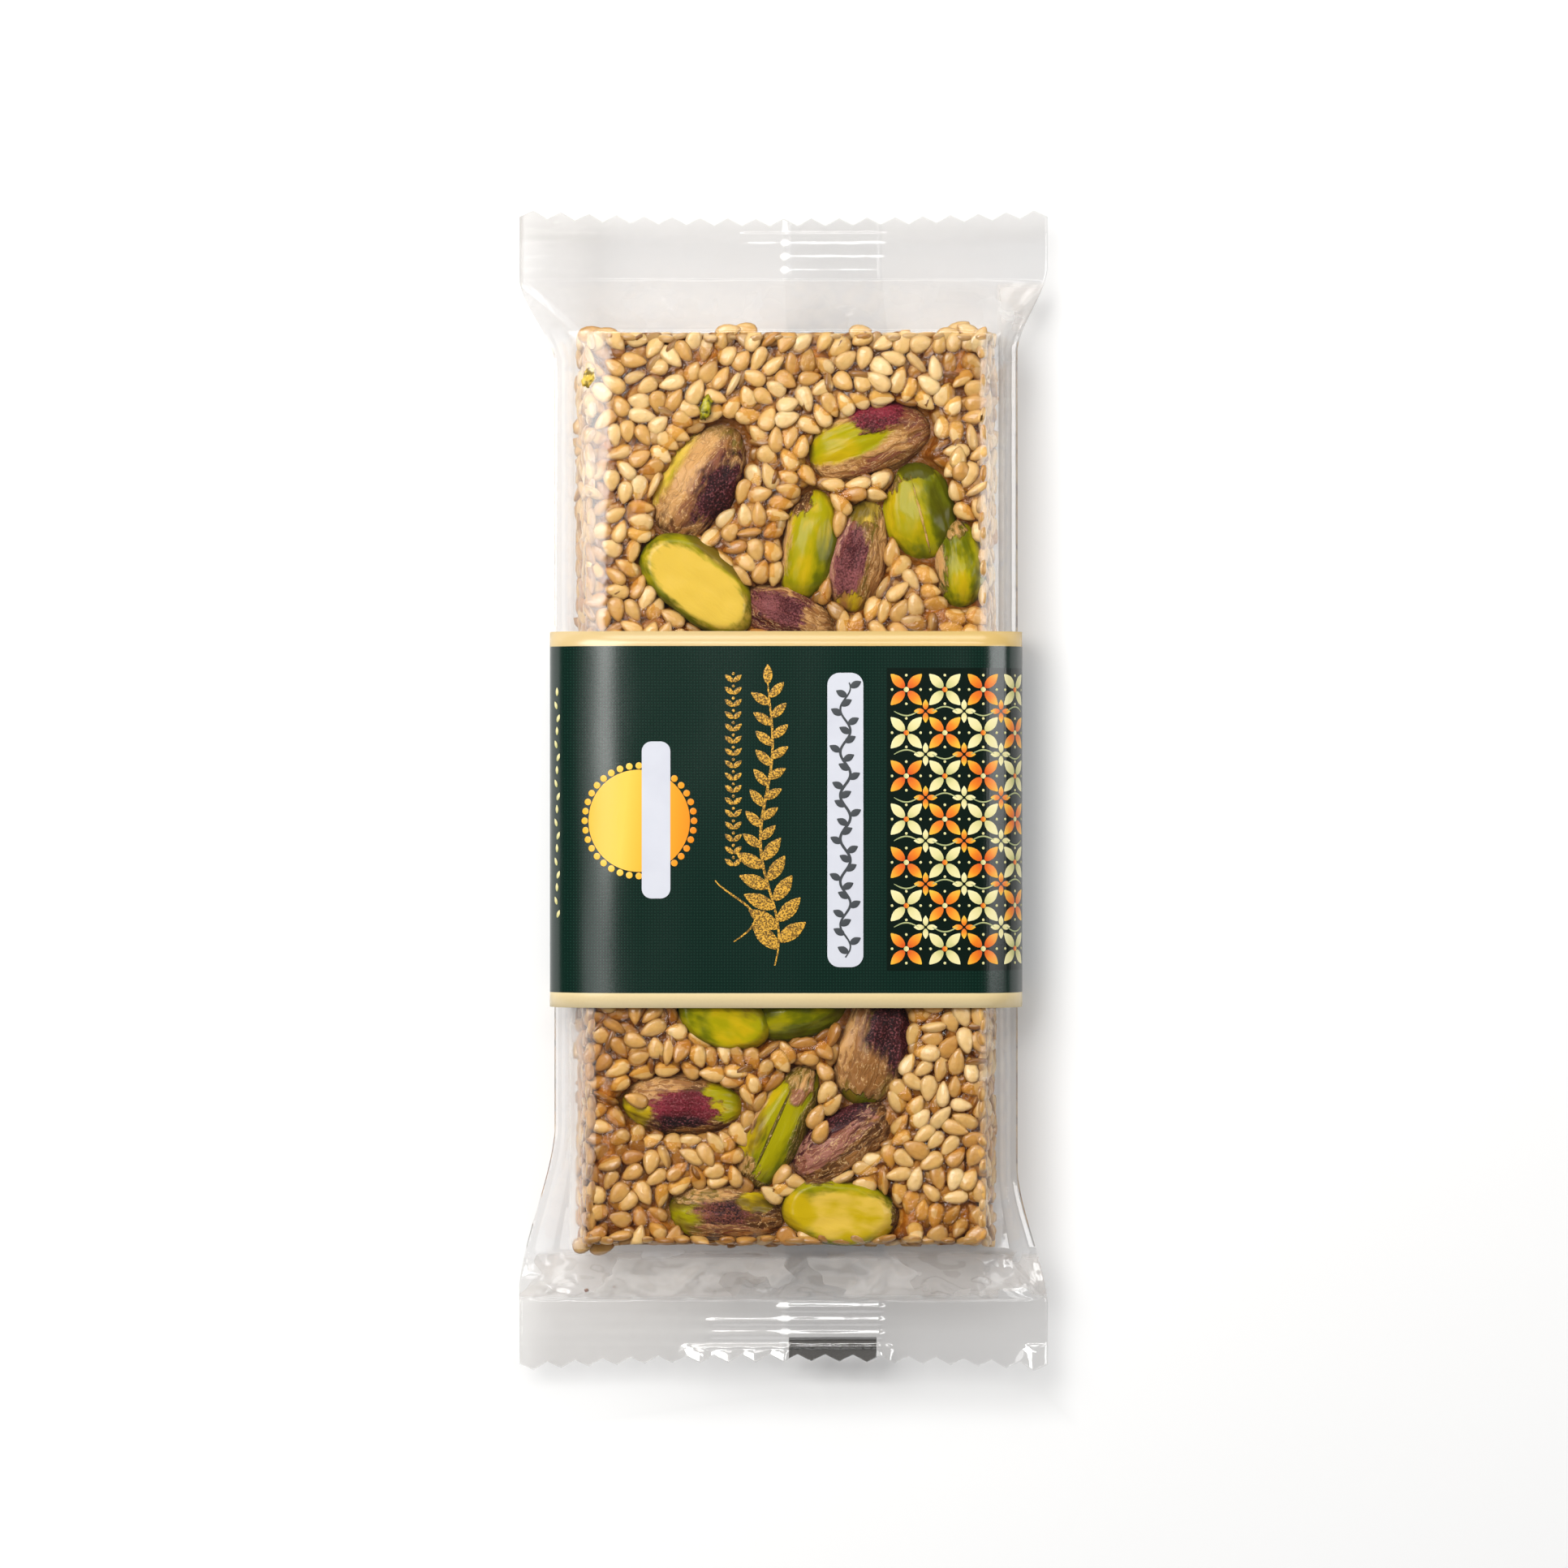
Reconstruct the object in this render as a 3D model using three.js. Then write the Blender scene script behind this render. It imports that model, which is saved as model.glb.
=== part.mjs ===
// A bar of sesame and pistachio brittle, sealed in a clear flow-wrap, with a paper band round its waist.
// Millimetres, +Z up. The pack lies on its back seam: X runs across it and Y along it, and the origin is
// under its middle, on the surface that it rests on.
import * as THREE from "three";

// Film tube. Pressed flat it is as wide as the end seals, and it narrows as it opens round the bar.
const FLAT_HALF = 32.55;
const BODY_HALF = 28.5;
const PACK_HALF_LENGTH = 71.6;
const SEALED_THICKNESS = 0.5; // of an end seal, and of the pressed crease along each side

// Brittle slab inside the tube, which gives the middle of the pack its flat top and base.
const SLAB_HALF_LENGTH = 56.9;
const SLAB_TOP_HALF = 22.2;
const SLAB_BASE_HALF = 24.2;
const PACK_TOP = 10.4;
const CREASE_HEIGHT = 5.2;
const BAR_SHIFT = 0.3; // the bar lies this much to the +X side of the end seals' middle

// Towards each end the film flares out to the width of its seal, sooner at the -Y end.
const FLARE_START = { front: 44, back: 53 };

// End seals. Each has crimps next to the tube, then a plain skirt with a toothed cut edge.
const SEAL_START = 62.9;
const CRIMPS = 3;
const CRIMP_PITCH = 1.65;
const CRIMP_RISE = 0.45;
const TEETH = 19;
const TOOTH_DEPTH = 0.9;
const EDGE_HOLLOW = { front: 1.3, back: 1.2 }; // how far the middle of a cut edge lies behind its corners
const SEAL_HEIGHT = 4.9; // of the seal's corners, where the tube ends
const SEAL_DROOP = 0.9; // fall from there to the cut edge
const SEAL_HUMP = 0.7; // rise of a seal's middle above its corners

// Back seam: the tube's two long edges, sealed face to face and folded flat against the base.
const SEAM_WIDTH = 12;
const SEAM_THICKNESS = 0.2;

// Paper band: a closed loop round the pack, a little nearer the -Y end.
const PAPER = 0.3;
const GAP = 0.3;
const BAND_FRONT = -26.6;
const BAND_BACK = 19.5;
const STEP_LENGTH = 1.2; // over which the pack's base steps up to pass over the band

const { lerp, smoothstep, clamp } = THREE.MathUtils;

// Columns of points across the film, one for the tip and one for the root of each tooth.
const COLUMNS = 2 * TEETH;

// Half of a rounded side, drawn from the edge of a flat face out to the crease.
const SIDE_FULLNESS = 0.62; // how far the flat face's direction is kept
const CREASE_FULLNESS = 0.55; // how much of the height turns upright at the crease

function sidePoints(flatHalf, half, face) {
  return [
    new THREE.Vector2(flatHalf, face),
    new THREE.Vector2(lerp(flatHalf, half, SIDE_FULLNESS), face),
    new THREE.Vector2(half, lerp(CREASE_HEIGHT, face, CREASE_FULLNESS)),
    new THREE.Vector2(half, CREASE_HEIGHT),
  ];
}

// Point on the open tube's section: 0 across is its middle and 1 is the crease.
function tubePoint(across, flatHalf, face) {
  const flatShare = flatHalf / FLAT_HALF;
  if (across <= flatShare) return new THREE.Vector2(across * FLAT_HALF, face);
  const side = new THREE.CubicBezierCurve(...sidePoints(flatHalf, BODY_HALF, face));
  return side.getPoint((across - flatShare) / (1 - flatShare));
}

// The seam lies to the +X side of the middle. Its last column is the last one within its width.
function seamThickness(across) {
  const offset = across * FLAT_HALF;
  return offset > -GAP && offset <= SEAM_WIDTH ? SEAM_THICKNESS : 0;
}

// Underside of the open tube, which steps up where the band passes beneath it.
function baseHeight(across, y) {
  const middle = (BAND_FRONT + BAND_BACK) / 2;
  const pastBand = Math.abs(y - middle) - (BAND_BACK - BAND_FRONT) / 2;
  const waist = 1 - smoothstep(pastBand, GAP, GAP + STEP_LENGTH);
  return lerp(SEAM_THICKNESS - seamThickness(across), PAPER + GAP, waist);
}

// Middle surface of an end seal.
function sealHeight(x, y) {
  const out = Math.abs(y) - SEAL_START;
  const crimped = out > 0 && out < CRIMPS * CRIMP_PITCH;
  const ridge = crimped ? (CRIMP_RISE / 2) * (1 - Math.cos((2 * Math.PI * out) / CRIMP_PITCH)) : 0;
  const fall = SEAL_DROOP * (Math.max(out, 0) / (PACK_HALF_LENGTH - SEAL_START)) ** 1.5;
  return SEAL_HEIGHT + ridge - fall + SEAL_HUMP * (1 - (x / FLAT_HALF) ** 2);
}

// Distance along the pack of one column's point on the cut edge.
function cutEdge(column, hollow) {
  const across = (column / COLUMNS) * 2 - 1;
  const tooth = column % 2 ? TOOTH_DEPTH : 0;
  return PACK_HALF_LENGTH - hollow * (1 - across ** 2) - tooth;
}

// Rows of one end, as distances from the pack's middle: flare, tent over the slab's end, then crimps.
function endRows(flareStart) {
  const rows = [0, 0.5].map((share) => lerp(flareStart, SLAB_HALF_LENGTH, share));
  for (const share of [0, 0.25, 0.5, 0.75]) rows.push(lerp(SLAB_HALF_LENGTH, SEAL_START, share));
  for (let k = 0; k <= 2 * CRIMPS; k++) rows.push(SEAL_START + (k * CRIMP_PITCH) / 2);
  rows.push(PACK_HALF_LENGTH);
  return rows;
}

function rowPlaces() {
  const front = endRows(FLARE_START.front).map((y) => -y);
  const frontStep = [BAND_FRONT - GAP - STEP_LENGTH, BAND_FRONT - GAP];
  const backStep = [BAND_BACK + GAP, BAND_BACK + GAP + STEP_LENGTH];
  return [...front.reverse(), ...frontStep, ...backStep, ...endRows(FLARE_START.back)];
}

// One point of the film's outer surface, on its upper or its lower side.
function filmPoint(column, row, upper, places) {
  const across = (column / COLUMNS) * 2 - 1;
  const end = places[row] < 0 ? "front" : "back";
  const atEdge = row === 0 || row === places.length - 1;
  const y = atEdge ? Math.sign(places[row]) * cutEdge(column, EDGE_HOLLOW[end]) : places[row];

  const flare = smoothstep(Math.abs(y), FLARE_START[end], SEAL_START);
  const closing = clamp((Math.abs(y) - SLAB_HALF_LENGTH) / (SEAL_START - SLAB_HALF_LENGTH), 0, 1);
  const open = upper
    ? tubePoint(Math.abs(across), SLAB_TOP_HALF, PACK_TOP)
    : tubePoint(Math.abs(across), SLAB_BASE_HALF, baseHeight(across, y));
  const x = lerp(Math.sign(across) * open.x + BAR_SHIFT, across * FLAT_HALF, flare);

  const edge = upper ? SEALED_THICKNESS / 2 : -SEALED_THICKNESS / 2;
  const openHeight = open.y + (Math.abs(across) === 1 ? edge : 0);
  const sealedHeight = sealHeight(x, y) + edge - (upper ? 0 : seamThickness(across));
  return new THREE.Vector3(x, y, lerp(openHeight, sealedHeight, closing));
}

// The sealed pack as one solid, out to the outer face of its film.
function flowWrap() {
  const places = rowPlaces();
  const rows = places.length - 1;
  const geometry = new THREE.BoxGeometry(1, 1, 1, COLUMNS, rows, 1);
  const position = geometry.getAttribute("position");
  for (let k = 0; k < position.count; k++) {
    const column = Math.round((position.getX(k) + 0.5) * COLUMNS);
    const row = Math.round((position.getY(k) + 0.5) * rows);
    const point = filmPoint(column, row, position.getZ(k) > 0, places);
    position.setXYZ(k, point.x, point.y, point.z);
  }
  geometry.computeVertexNormals();
  const film = new THREE.MeshStandardMaterial({
    color: 0xf2f2ee,
    roughness: 0.12,
    metalness: 0,
    transparent: true,
    opacity: 0.35,
  });
  const mesh = new THREE.Mesh(geometry, film);
  mesh.name = "flow_wrap";
  return mesh;
}

// Section of the paper loop across the pack, taken in by inset from its outer face.
function bandOutline(path, inset) {
  const half = BODY_HALF + GAP + PAPER - inset;
  const top = PACK_TOP + GAP + PAPER - inset;
  const quarter = (side, flatHalf, face, outwards) => {
    const points = sidePoints(flatHalf, half, face);
    const [, ...rest] = outwards ? points : points.reverse();
    path.bezierCurveTo(...rest.flatMap((point) => [side * point.x, point.y]));
  };
  path.moveTo(-SLAB_BASE_HALF, inset);
  path.lineTo(SLAB_BASE_HALF, inset);
  quarter(1, SLAB_BASE_HALF, inset, true);
  quarter(1, SLAB_TOP_HALF, top, false);
  path.lineTo(-SLAB_TOP_HALF, top);
  quarter(-1, SLAB_TOP_HALF, top, true);
  quarter(-1, SLAB_BASE_HALF, inset, false);
  return path;
}

function paperBand() {
  const outline = bandOutline(new THREE.Shape(), 0);
  outline.holes.push(bandOutline(new THREE.Path(), PAPER));
  const geometry = new THREE.ExtrudeGeometry(outline, {
    depth: BAND_BACK - BAND_FRONT,
    steps: 1,
    curveSegments: 12,
    bevelEnabled: false,
  });
  const paper = new THREE.MeshStandardMaterial({ color: 0x16332a, roughness: 0.45, metalness: 0 });
  const mesh = new THREE.Mesh(geometry, paper);
  mesh.name = "paper_band";
  mesh.rotation.x = Math.PI / 2;
  mesh.position.set(BAR_SHIFT, BAND_BACK, 0);
  return mesh;
}

const pack = new THREE.Group();
pack.add(flowWrap(), paperBand());
export default pack;
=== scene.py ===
"""A bar of sesame and pistachio brittle in a clear flow-wrap, with a printed paper band round its waist.

It is built from the inside out: slab, seeds, nuts, wrapper, band, print. Sizes are in millimetres until a
piece is finished, when its mesh is brought to metres.
"""
import math
import random

import bmesh
import bpy
from mathutils import Matrix, Vector, noise


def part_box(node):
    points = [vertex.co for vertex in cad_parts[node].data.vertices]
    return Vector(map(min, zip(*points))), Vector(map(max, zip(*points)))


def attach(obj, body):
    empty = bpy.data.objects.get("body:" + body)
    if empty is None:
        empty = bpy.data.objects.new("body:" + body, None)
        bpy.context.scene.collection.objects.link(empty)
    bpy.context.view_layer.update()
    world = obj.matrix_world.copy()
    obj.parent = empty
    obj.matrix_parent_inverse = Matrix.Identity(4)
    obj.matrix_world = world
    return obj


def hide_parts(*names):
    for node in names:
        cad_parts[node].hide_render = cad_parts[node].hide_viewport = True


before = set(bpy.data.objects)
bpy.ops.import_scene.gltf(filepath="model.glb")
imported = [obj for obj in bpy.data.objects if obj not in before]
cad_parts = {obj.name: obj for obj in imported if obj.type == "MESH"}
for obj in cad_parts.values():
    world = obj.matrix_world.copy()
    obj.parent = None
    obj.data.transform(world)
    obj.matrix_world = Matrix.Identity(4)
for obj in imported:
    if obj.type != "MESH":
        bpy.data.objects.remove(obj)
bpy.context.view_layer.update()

MM = 0.001
scene = bpy.context.scene

# ---------------------------------------------------------------------------------------------------
# The studio: a pale table under soft lights, seen from straight above with a long lens. The main light
# is a large softbox beyond the pack's far left corner, and smaller ones fill in from the other sides.

VIEW_WIDTH = 193.2 * MM
VIEW_CENTRE = Vector((0.05, 0.8, 5.0)) * MM
LENS = 150.0
SENSOR = 36.0

camera_data = bpy.data.cameras.new("overhead_camera")
camera_data.lens = LENS
camera_data.sensor_width = SENSOR
camera_data.clip_start = 0.05
camera_data.clip_end = 10.0
camera = bpy.data.objects.new("overhead_camera", camera_data)
camera.location = VIEW_CENTRE + Vector((0, 0, VIEW_WIDTH * LENS / SENSOR))
scene.collection.objects.link(camera)
scene.camera = camera

scene.view_settings.view_transform = "Standard"
scene.view_settings.exposure = 0.0

# The air glows faintly, and least towards the zenith. Heights of a direction run from -1 to 1.
ZENITH_STARTS = 0.7
ZENITH_FULL = 0.95
AIR_GLOW = 0.2
ZENITH_GLOW = 0.03

world = bpy.data.worlds.new("studio_air")
scene.world = world
world.use_nodes = True
air = world.node_tree.nodes["Background"]
direction = world.node_tree.nodes.new("ShaderNodeTexCoord")
heading = world.node_tree.nodes.new("ShaderNodeSeparateXYZ")
ceiling = world.node_tree.nodes.new("ShaderNodeMapRange")
ceiling.inputs["From Min"].default_value = ZENITH_STARTS
ceiling.inputs["From Max"].default_value = ZENITH_FULL
ceiling.inputs["To Min"].default_value = AIR_GLOW
ceiling.inputs["To Max"].default_value = ZENITH_GLOW
world.node_tree.links.new(direction.outputs["Generated"], heading.inputs[0])
world.node_tree.links.new(heading.outputs["Z"], ceiling.inputs["Value"])
world.node_tree.links.new(ceiling.outputs[0], air.inputs["Strength"])


def softbox(name, place, aim, size, power, colour=(1, 1, 1)):
    """A rectangle of light, placed and aimed in metres, with its power in watts."""
    light = bpy.data.lights.new(name, "AREA")
    light.shape = "RECTANGLE"
    light.size, light.size_y = size
    light.energy = power
    light.color = colour
    lamp = bpy.data.objects.new(name, light)
    lamp.location = place
    lamp.rotation_euler = (Vector(aim) - Vector(place)).to_track_quat("-Z", "Y").to_euler()
    scene.collection.objects.link(lamp)


softbox("left_softbox", (-0.27, 0.20, 0.43), (-0.16, 0.13, 0), (0.29, 0.40), 3.1, (1.0, 0.99, 0.97))
softbox("left_fill", (-0.31, -0.12, 0.43), (-0.1, -0.08, 0), (0.22, 0.22), 0.31)
softbox("back_softbox", (0.02, 0.46, 0.31), (0, 0, 0), (0.4, 0.2), 1.0, (1.0, 0.99, 0.97))
softbox("overhead_strip", (0.02, 0.25, 0.50), (0, 0.05, 0), (0.42, 0.06), 0.55)
softbox("front_low_softbox", (0.0, -0.46, 0.15), (0, -0.05, 0), (0.6, 0.22), 0.35)
softbox("right_strip", (0.48, 0.05, 0.33), (0, 0, 0), (0.14, 0.4), 1.05)


class Wire:
    """One value on its way through a material. Sums on it add Math nodes."""

    def __init__(self, paint, socket):
        self.paint = paint
        self.socket = socket

    def maths(self, operation, *others):
        values = dict(enumerate((self, *others)))
        return self.paint.node("ShaderNodeMath", {"operation": operation}, values)

    def __add__(self, other):
        return self.maths("ADD", other)

    def __sub__(self, other):
        return self.maths("SUBTRACT", other)

    def __rsub__(self, other):
        return self * -1 + other

    def __mul__(self, other):
        return self.maths("MULTIPLY", other)

    def __truediv__(self, other):
        return self.maths("DIVIDE", other)

    def __pow__(self, other):
        return self.maths("POWER", other)

    def __abs__(self):
        return self.maths("ABSOLUTE")

    __radd__ = __add__
    __rmul__ = __mul__


def tint(red, green, blue):
    """A colour given as it looks on a screen, from 0 to 255, as the linear colour that a shader takes."""
    shares = [value / 255 for value in (red, green, blue)]
    return [s / 12.92 if s <= 0.04045 else ((s + 0.055) / 1.055) ** 2.4 for s in shares] + [1]


class Paint:
    """A material, built node by node."""

    def __init__(self, name):
        self.material = bpy.data.materials.new(name)
        self.material.use_nodes = True
        self.tree = self.material.node_tree
        self.tree.nodes.clear()

    def node(self, kind, settings=None, inputs=None, output=0):
        """Adds a node with these settings and inputs, each a wire or a value, and returns one output."""
        made = self.tree.nodes.new(kind)
        for setting, value in (settings or {}).items():
            if setting == "stops":  # a new ramp has two stops, which stand for the first two of these
                ramp = made.color_ramp.elements
                for place, colour in value[2:]:
                    ramp.new(place)
                for element, (place, colour) in zip(ramp, sorted(value)):
                    element.position = place
                    element.color = colour
            else:
                setattr(made, setting, value)
        for socket, value in (inputs or {}).items():
            if isinstance(value, Wire):
                self.tree.links.new(value.socket, made.inputs[socket])
            else:
                made.inputs[socket].default_value = value
        return Wire(self, made.outputs[output])

    def trait(self, name, output="Fac"):
        """A number, or a vector, that the piece's own points hold."""
        return self.node("ShaderNodeAttribute", {"attribute_name": name}, output=output)

    def glance(self):
        """0 where the surface faces the eye and 1 where it is seen edge on."""
        return self.node("ShaderNodeLayerWeight", inputs={"Blend": 0.5}, output="Facing")

    def place(self):
        """Where a point of the piece is, in millimetres."""
        spot = self.node("ShaderNodeTexCoord", output="Object")
        return self.node("ShaderNodeVectorMath", {"operation": "SCALE"}, {0: spot, "Scale": 1 / MM})

    def parts(self, vector):
        """A vector's x, y and z."""
        split = self.node("ShaderNodeSeparateXYZ", inputs={0: vector})
        return [Wire(self, socket) for socket in split.socket.node.outputs]

    def stretch(self, vector, scale):
        return self.node("ShaderNodeVectorMath", {"operation": "MULTIPLY"}, {0: vector, 1: scale})

    def clouds(self, vector, scale, detail=2.0, output=0):
        inputs = {"Vector": vector, "Scale": scale, "Detail": detail}
        return self.node("ShaderNodeTexNoise", inputs=inputs, output=output)

    def fade(self, value, low, high):
        """0 below low and 1 above high, with a soft change between them."""
        inputs = {"Value": value, "From Min": low, "From Max": high}
        return self.node("ShaderNodeMapRange", {"interpolation_type": "SMOOTHSTEP"}, inputs)

    def mix(self, share, first, second):
        """The first colour where the share is 0, and the second where it is 1."""
        return self.node("ShaderNodeMix", {"data_type": "RGBA"}, {0: share, 6: first, 7: second}, 2)

    def ramp(self, share, *stops):
        """A colour from a row of them, each a place from 0 to 1 and the colour there."""
        return self.node("ShaderNodeValToRGB", {"stops": stops}, {"Fac": share})

    def warped(self, vector, scale, reach):
        """A place, moved about by soft noise."""
        warp = self.clouds(vector, scale, 2, output="Color")
        inputs = {0: warp, 1: (reach, reach, reach), 2: vector}
        return self.node("ShaderNodeVectorMath", {"operation": "MULTIPLY_ADD"}, inputs)

    def bump(self, height, depth, below=None):
        """A relief this many millimetres deep, on its own or over another one."""
        inputs = {"Height": height, "Distance": depth * MM, "Strength": 1.0}
        if below:
            inputs["Normal"] = below
        return self.node("ShaderNodeBump", inputs=inputs)

    def surface(self, **inputs):
        """Finishes a solid material. The inputs' names are written with underscores for spaces."""
        named = {name.replace("_", " "): value for name, value in inputs.items()}
        return self.done(self.node("ShaderNodeBsdfPrincipled", inputs=named))

    def see_through(self, colour):
        return self.node("ShaderNodeBsdfTransparent", inputs={"Color": colour})

    def matt(self, colour):
        return self.node("ShaderNodeBsdfDiffuse", inputs={"Color": colour})

    def blend(self, share, first, second):
        """The first shader where the share is 0, and the second where it is 1."""
        return self.node("ShaderNodeMixShader", inputs={0: share, 1: first, 2: second})

    def shiny(self, body, shine, **gloss):
        """Finishes a see-through material, whose body has a white reflection over it."""
        inputs = {"Color": (1, 1, 1, 1), **gloss}
        return self.done(self.blend(shine, body, self.node("ShaderNodeBsdfAnisotropic", inputs=inputs)))

    def done(self, shader):
        output = self.tree.nodes.new("ShaderNodeOutputMaterial")
        self.tree.links.new(shader.socket, output.inputs["Surface"])
        return self.material


TABLE_HALF = 3.0  # in metres
TABLE_GREY = 0.66

# The table glows faintly, as painted light. It glows less under the pack and just to its right, as a painted
# shadow, except near one corner, where it stays bright as a painted pool of light.
GLOW = 0.26
DIM_GLOW = 0.12
DIM_MIDDLE = Vector((4.7, -2.4))
DIM_HALF = Vector((29.7, 74.4))
DIM_EDGE = 2.5
BRIGHT_CORNER = Vector((-36.0, -66.0))

tabletop = bmesh.new()
bmesh.ops.create_grid(tabletop, x_segments=1, y_segments=1, size=TABLE_HALF)
table_mesh = bpy.data.meshes.new("tabletop")
tabletop.to_mesh(table_mesh)
tabletop.free()
table = bpy.data.objects.new("tabletop", table_mesh)
scene.collection.objects.link(table)
white = Paint("table_white")
table_x, table_y, _ = white.parts(white.place())
past_side = abs(table_x - DIM_MIDDLE.x) - DIM_HALF.x
past_dim = past_side.maths("MAXIMUM", abs(table_y - DIM_MIDDLE.y) - DIM_HALF.y)
from_corner = ((table_x - BRIGHT_CORNER.x) ** 2 + (table_y - BRIGHT_CORNER.y) ** 2) ** 0.5
bright = white.fade(past_dim, -DIM_EDGE, DIM_EDGE).maths("MAXIMUM", white.fade(from_corner, 40.0, 10.0))
table_material = white.surface(
    Base_Color=(TABLE_GREY, TABLE_GREY, TABLE_GREY, 1),
    Roughness=0.9,
    Emission_Color=white.mix(bright, (DIM_GLOW, DIM_GLOW, DIM_GLOW, 1), (GLOW, GLOW, GLOW, 1)),
    Emission_Strength=1.0,
)
table_mesh.materials.append(table_material)

# ---------------------------------------------------------------------------------------------------
# Caramel: the slab of set sugar syrup that holds the seeds and nuts. It was poured, rolled flat and cut
# with a blade, so its sides slope, and it stands a little higher where it has pooled between seeds.

_, wrap_high = [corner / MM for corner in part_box("flow_wrap")]
band_low, band_high = [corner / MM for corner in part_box("paper_band")]

SLAB_TOP = wrap_high.z - 0.35  # of the seeds, with room below the film for the highest ones
SLAB_BASE = 0.55
SLAB_HEIGHT = SLAB_TOP - SLAB_BASE
SLAB_BASE_MIDDLE = Vector((0.3, 0.1, 0))
SLAB_TOP_MIDDLE = Vector((0.35, 0.3, 0))
SLAB_BASE_HALF = Vector((26.0, 56.3))
SLAB_TOP_HALF = Vector((24.3, 55.7))
CARAMEL_DEPTH = 1.15  # how far the syrup that seeds fill lies below their tops
POOL_RISE = 0.4
TOP_SWELL = 0.24  # the syrup's top is uneven, both broadly and finely
TOP_RIPPLE = 0.12
WALL_WOBBLE = 0.25
ROUNDED_RIM = 0.5
MOAT_DEPTH = 1.3  # the syrup drops away round each nut
MOAT_SHARE = 0.25  # its width, as a share of the way from a nut's middle to its outline
CARAMEL_INSET = 0.55  # of the syrup's walls from the cut faces of the seeds
CARAMEL_BASE = SLAB_BASE + 0.45
BLADE_DRAG = 0.85  # by which the blade that cut the slab dragged its left edge down
BLADE_REACH = 3.2

# Nuts: where each lies on the face, its length and width, and the way that it points, in degrees.
KERNELS = {
    "kernel_01": dict(at=(-10.05, 37.9), size=(15.5, 9.3), turn=59),
    "kernel_02": dict(at=(10.65, 42.7), size=(15.0, 8.4), turn=17),
    "kernel_03": dict(at=(3.0, 30.3), size=(13.2, 6.7), turn=80),
    "kernel_04": dict(at=(9.35, 28.8), size=(13.7, 6.7), turn=78),
    "kernel_05": dict(at=(16.8, 34.4), size=(11.9, 8.4), turn=100),
    "kernel_06": dict(at=(21.4, 27.9), size=(10.6, 5.9), turn=95),
    "kernel_07": dict(at=(-10.65, 25.0), size=(15.4, 8.4), turn=-38),
    "kernel_08": dict(at=(0.75, 21.6), size=(12.0, 6.4), turn=-22),
    "kernel_09": dict(at=(-7.3, -27.6), size=(11.5, 7.0), turn=-24),
    "kernel_10": dict(at=(2.0, -27.4), size=(11.5, 6.4), turn=14),
    "kernel_11": dict(at=(10.7, -31.4), size=(14.5, 8.8), turn=76),
    "kernel_12": dict(at=(-12.4, -38.6), size=(14.6, 7.6), turn=-3),
    "kernel_13": dict(at=(-0.45, -41.2), size=(16.4, 6.9), turn=63),
    "kernel_14": dict(at=(7.2, -42.8), size=(13.9, 7.5), turn=35),
    "kernel_15": dict(at=(-7.0, -51.9), size=(14.2, 6.9), turn=-5),
    "kernel_16": dict(at=(7.0, -51.7), size=(13.8, 7.4), turn=-5),
}

# Pools, where the syrup stood and browned: middle and radius.
POOLS = [
    ((-23.0, -44.6), 3.4), ((-22.4, 41.2), 2.6), ((-14.8, -52.6), 3.0), ((12.8, -40.0), 1.4),
    ((21.0, -53.4), 3.0), ((18.0, 20.6), 3.6), ((20.8, 53.0), 3.2), ((-23.5, -27.0), 2.4),
    ((3.0, 53.0), 2.6), ((-2.0, -36.0), 1.2), ((24.0, -37.0), 2.4), ((15.4, -52.6), 2.2),
    ((-22.2, -37.5), 2.2), ((-9.5, 53.5), 2.4),
]


def clamp(value, low=0.0, high=1.0):
    return max(low, min(high, value))


def lerp(first, second, share):
    return first + (second - first) * share


def ease(value, low, high):
    """0 below low and 1 above high, with a soft change between them."""
    share = clamp((value - low) / (high - low))
    return share * share * (3 - 2 * share)


def in_pool(x, y):
    """1 in the middle of a pool of syrup and 0 outside it."""
    shares = []
    for middle, radius in POOLS:
        away = (Vector((x, y)) - Vector(middle)).length
        shares.append(1 - ease(away, 0.3 * radius, 1.3 * radius))
    return max(shares)


def pool_mask(paint, where):
    """1 inside the pools and 0 outside them, with soft ragged edges."""
    x, y, _ = paint.parts(where)
    ragged = (paint.clouds(where, 0.35, 3) - 0.5) * 3
    mask = 0.0
    for (pool_x, pool_y), radius in POOLS:
        reach = ((x - pool_x) ** 2 + (y - pool_y) ** 2) ** 0.5 + ragged
        inside = paint.fade(reach, radius * 1.15, radius * 0.4)
        mask = inside.maths("MAXIMUM", mask)
    return mask


def pointing(angle):
    """A step of length 1 in a direction across the pack."""
    return Vector((math.cos(angle), math.sin(angle)))


def along(kernel):
    """The way that a nut points."""
    return pointing(math.radians(kernel["turn"]))


def kernel_share(kernel, x, y):
    """How far out a place is from a nut's middle, as a share of the way to its outline."""
    axis = along(kernel)
    offset = Vector((x, y)) - Vector(kernel["at"])
    u = offset.dot(axis) * 2 / kernel["size"][0]
    v = offset.cross(axis) * 2 / kernel["size"][1]
    return math.hypot(u, v)


def cut(bm, axis, pieces):
    """Cuts the edges that run along one axis into equal lengths, which loops the faces round."""
    running = [e for e in bm.edges if abs((e.verts[0].co - e.verts[1].co).normalized()[axis]) > 0.99]
    bmesh.ops.subdivide_edges(bm, edges=running, cuts=pieces - 1)


def block(*pieces):
    """A closed box from -0.5 to 0.5, cut into this many pieces along each axis."""
    bm = bmesh.new()
    bmesh.ops.create_cube(bm, size=1)
    for axis, count in enumerate(pieces):
        cut(bm, axis, count)
    return bm


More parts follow.
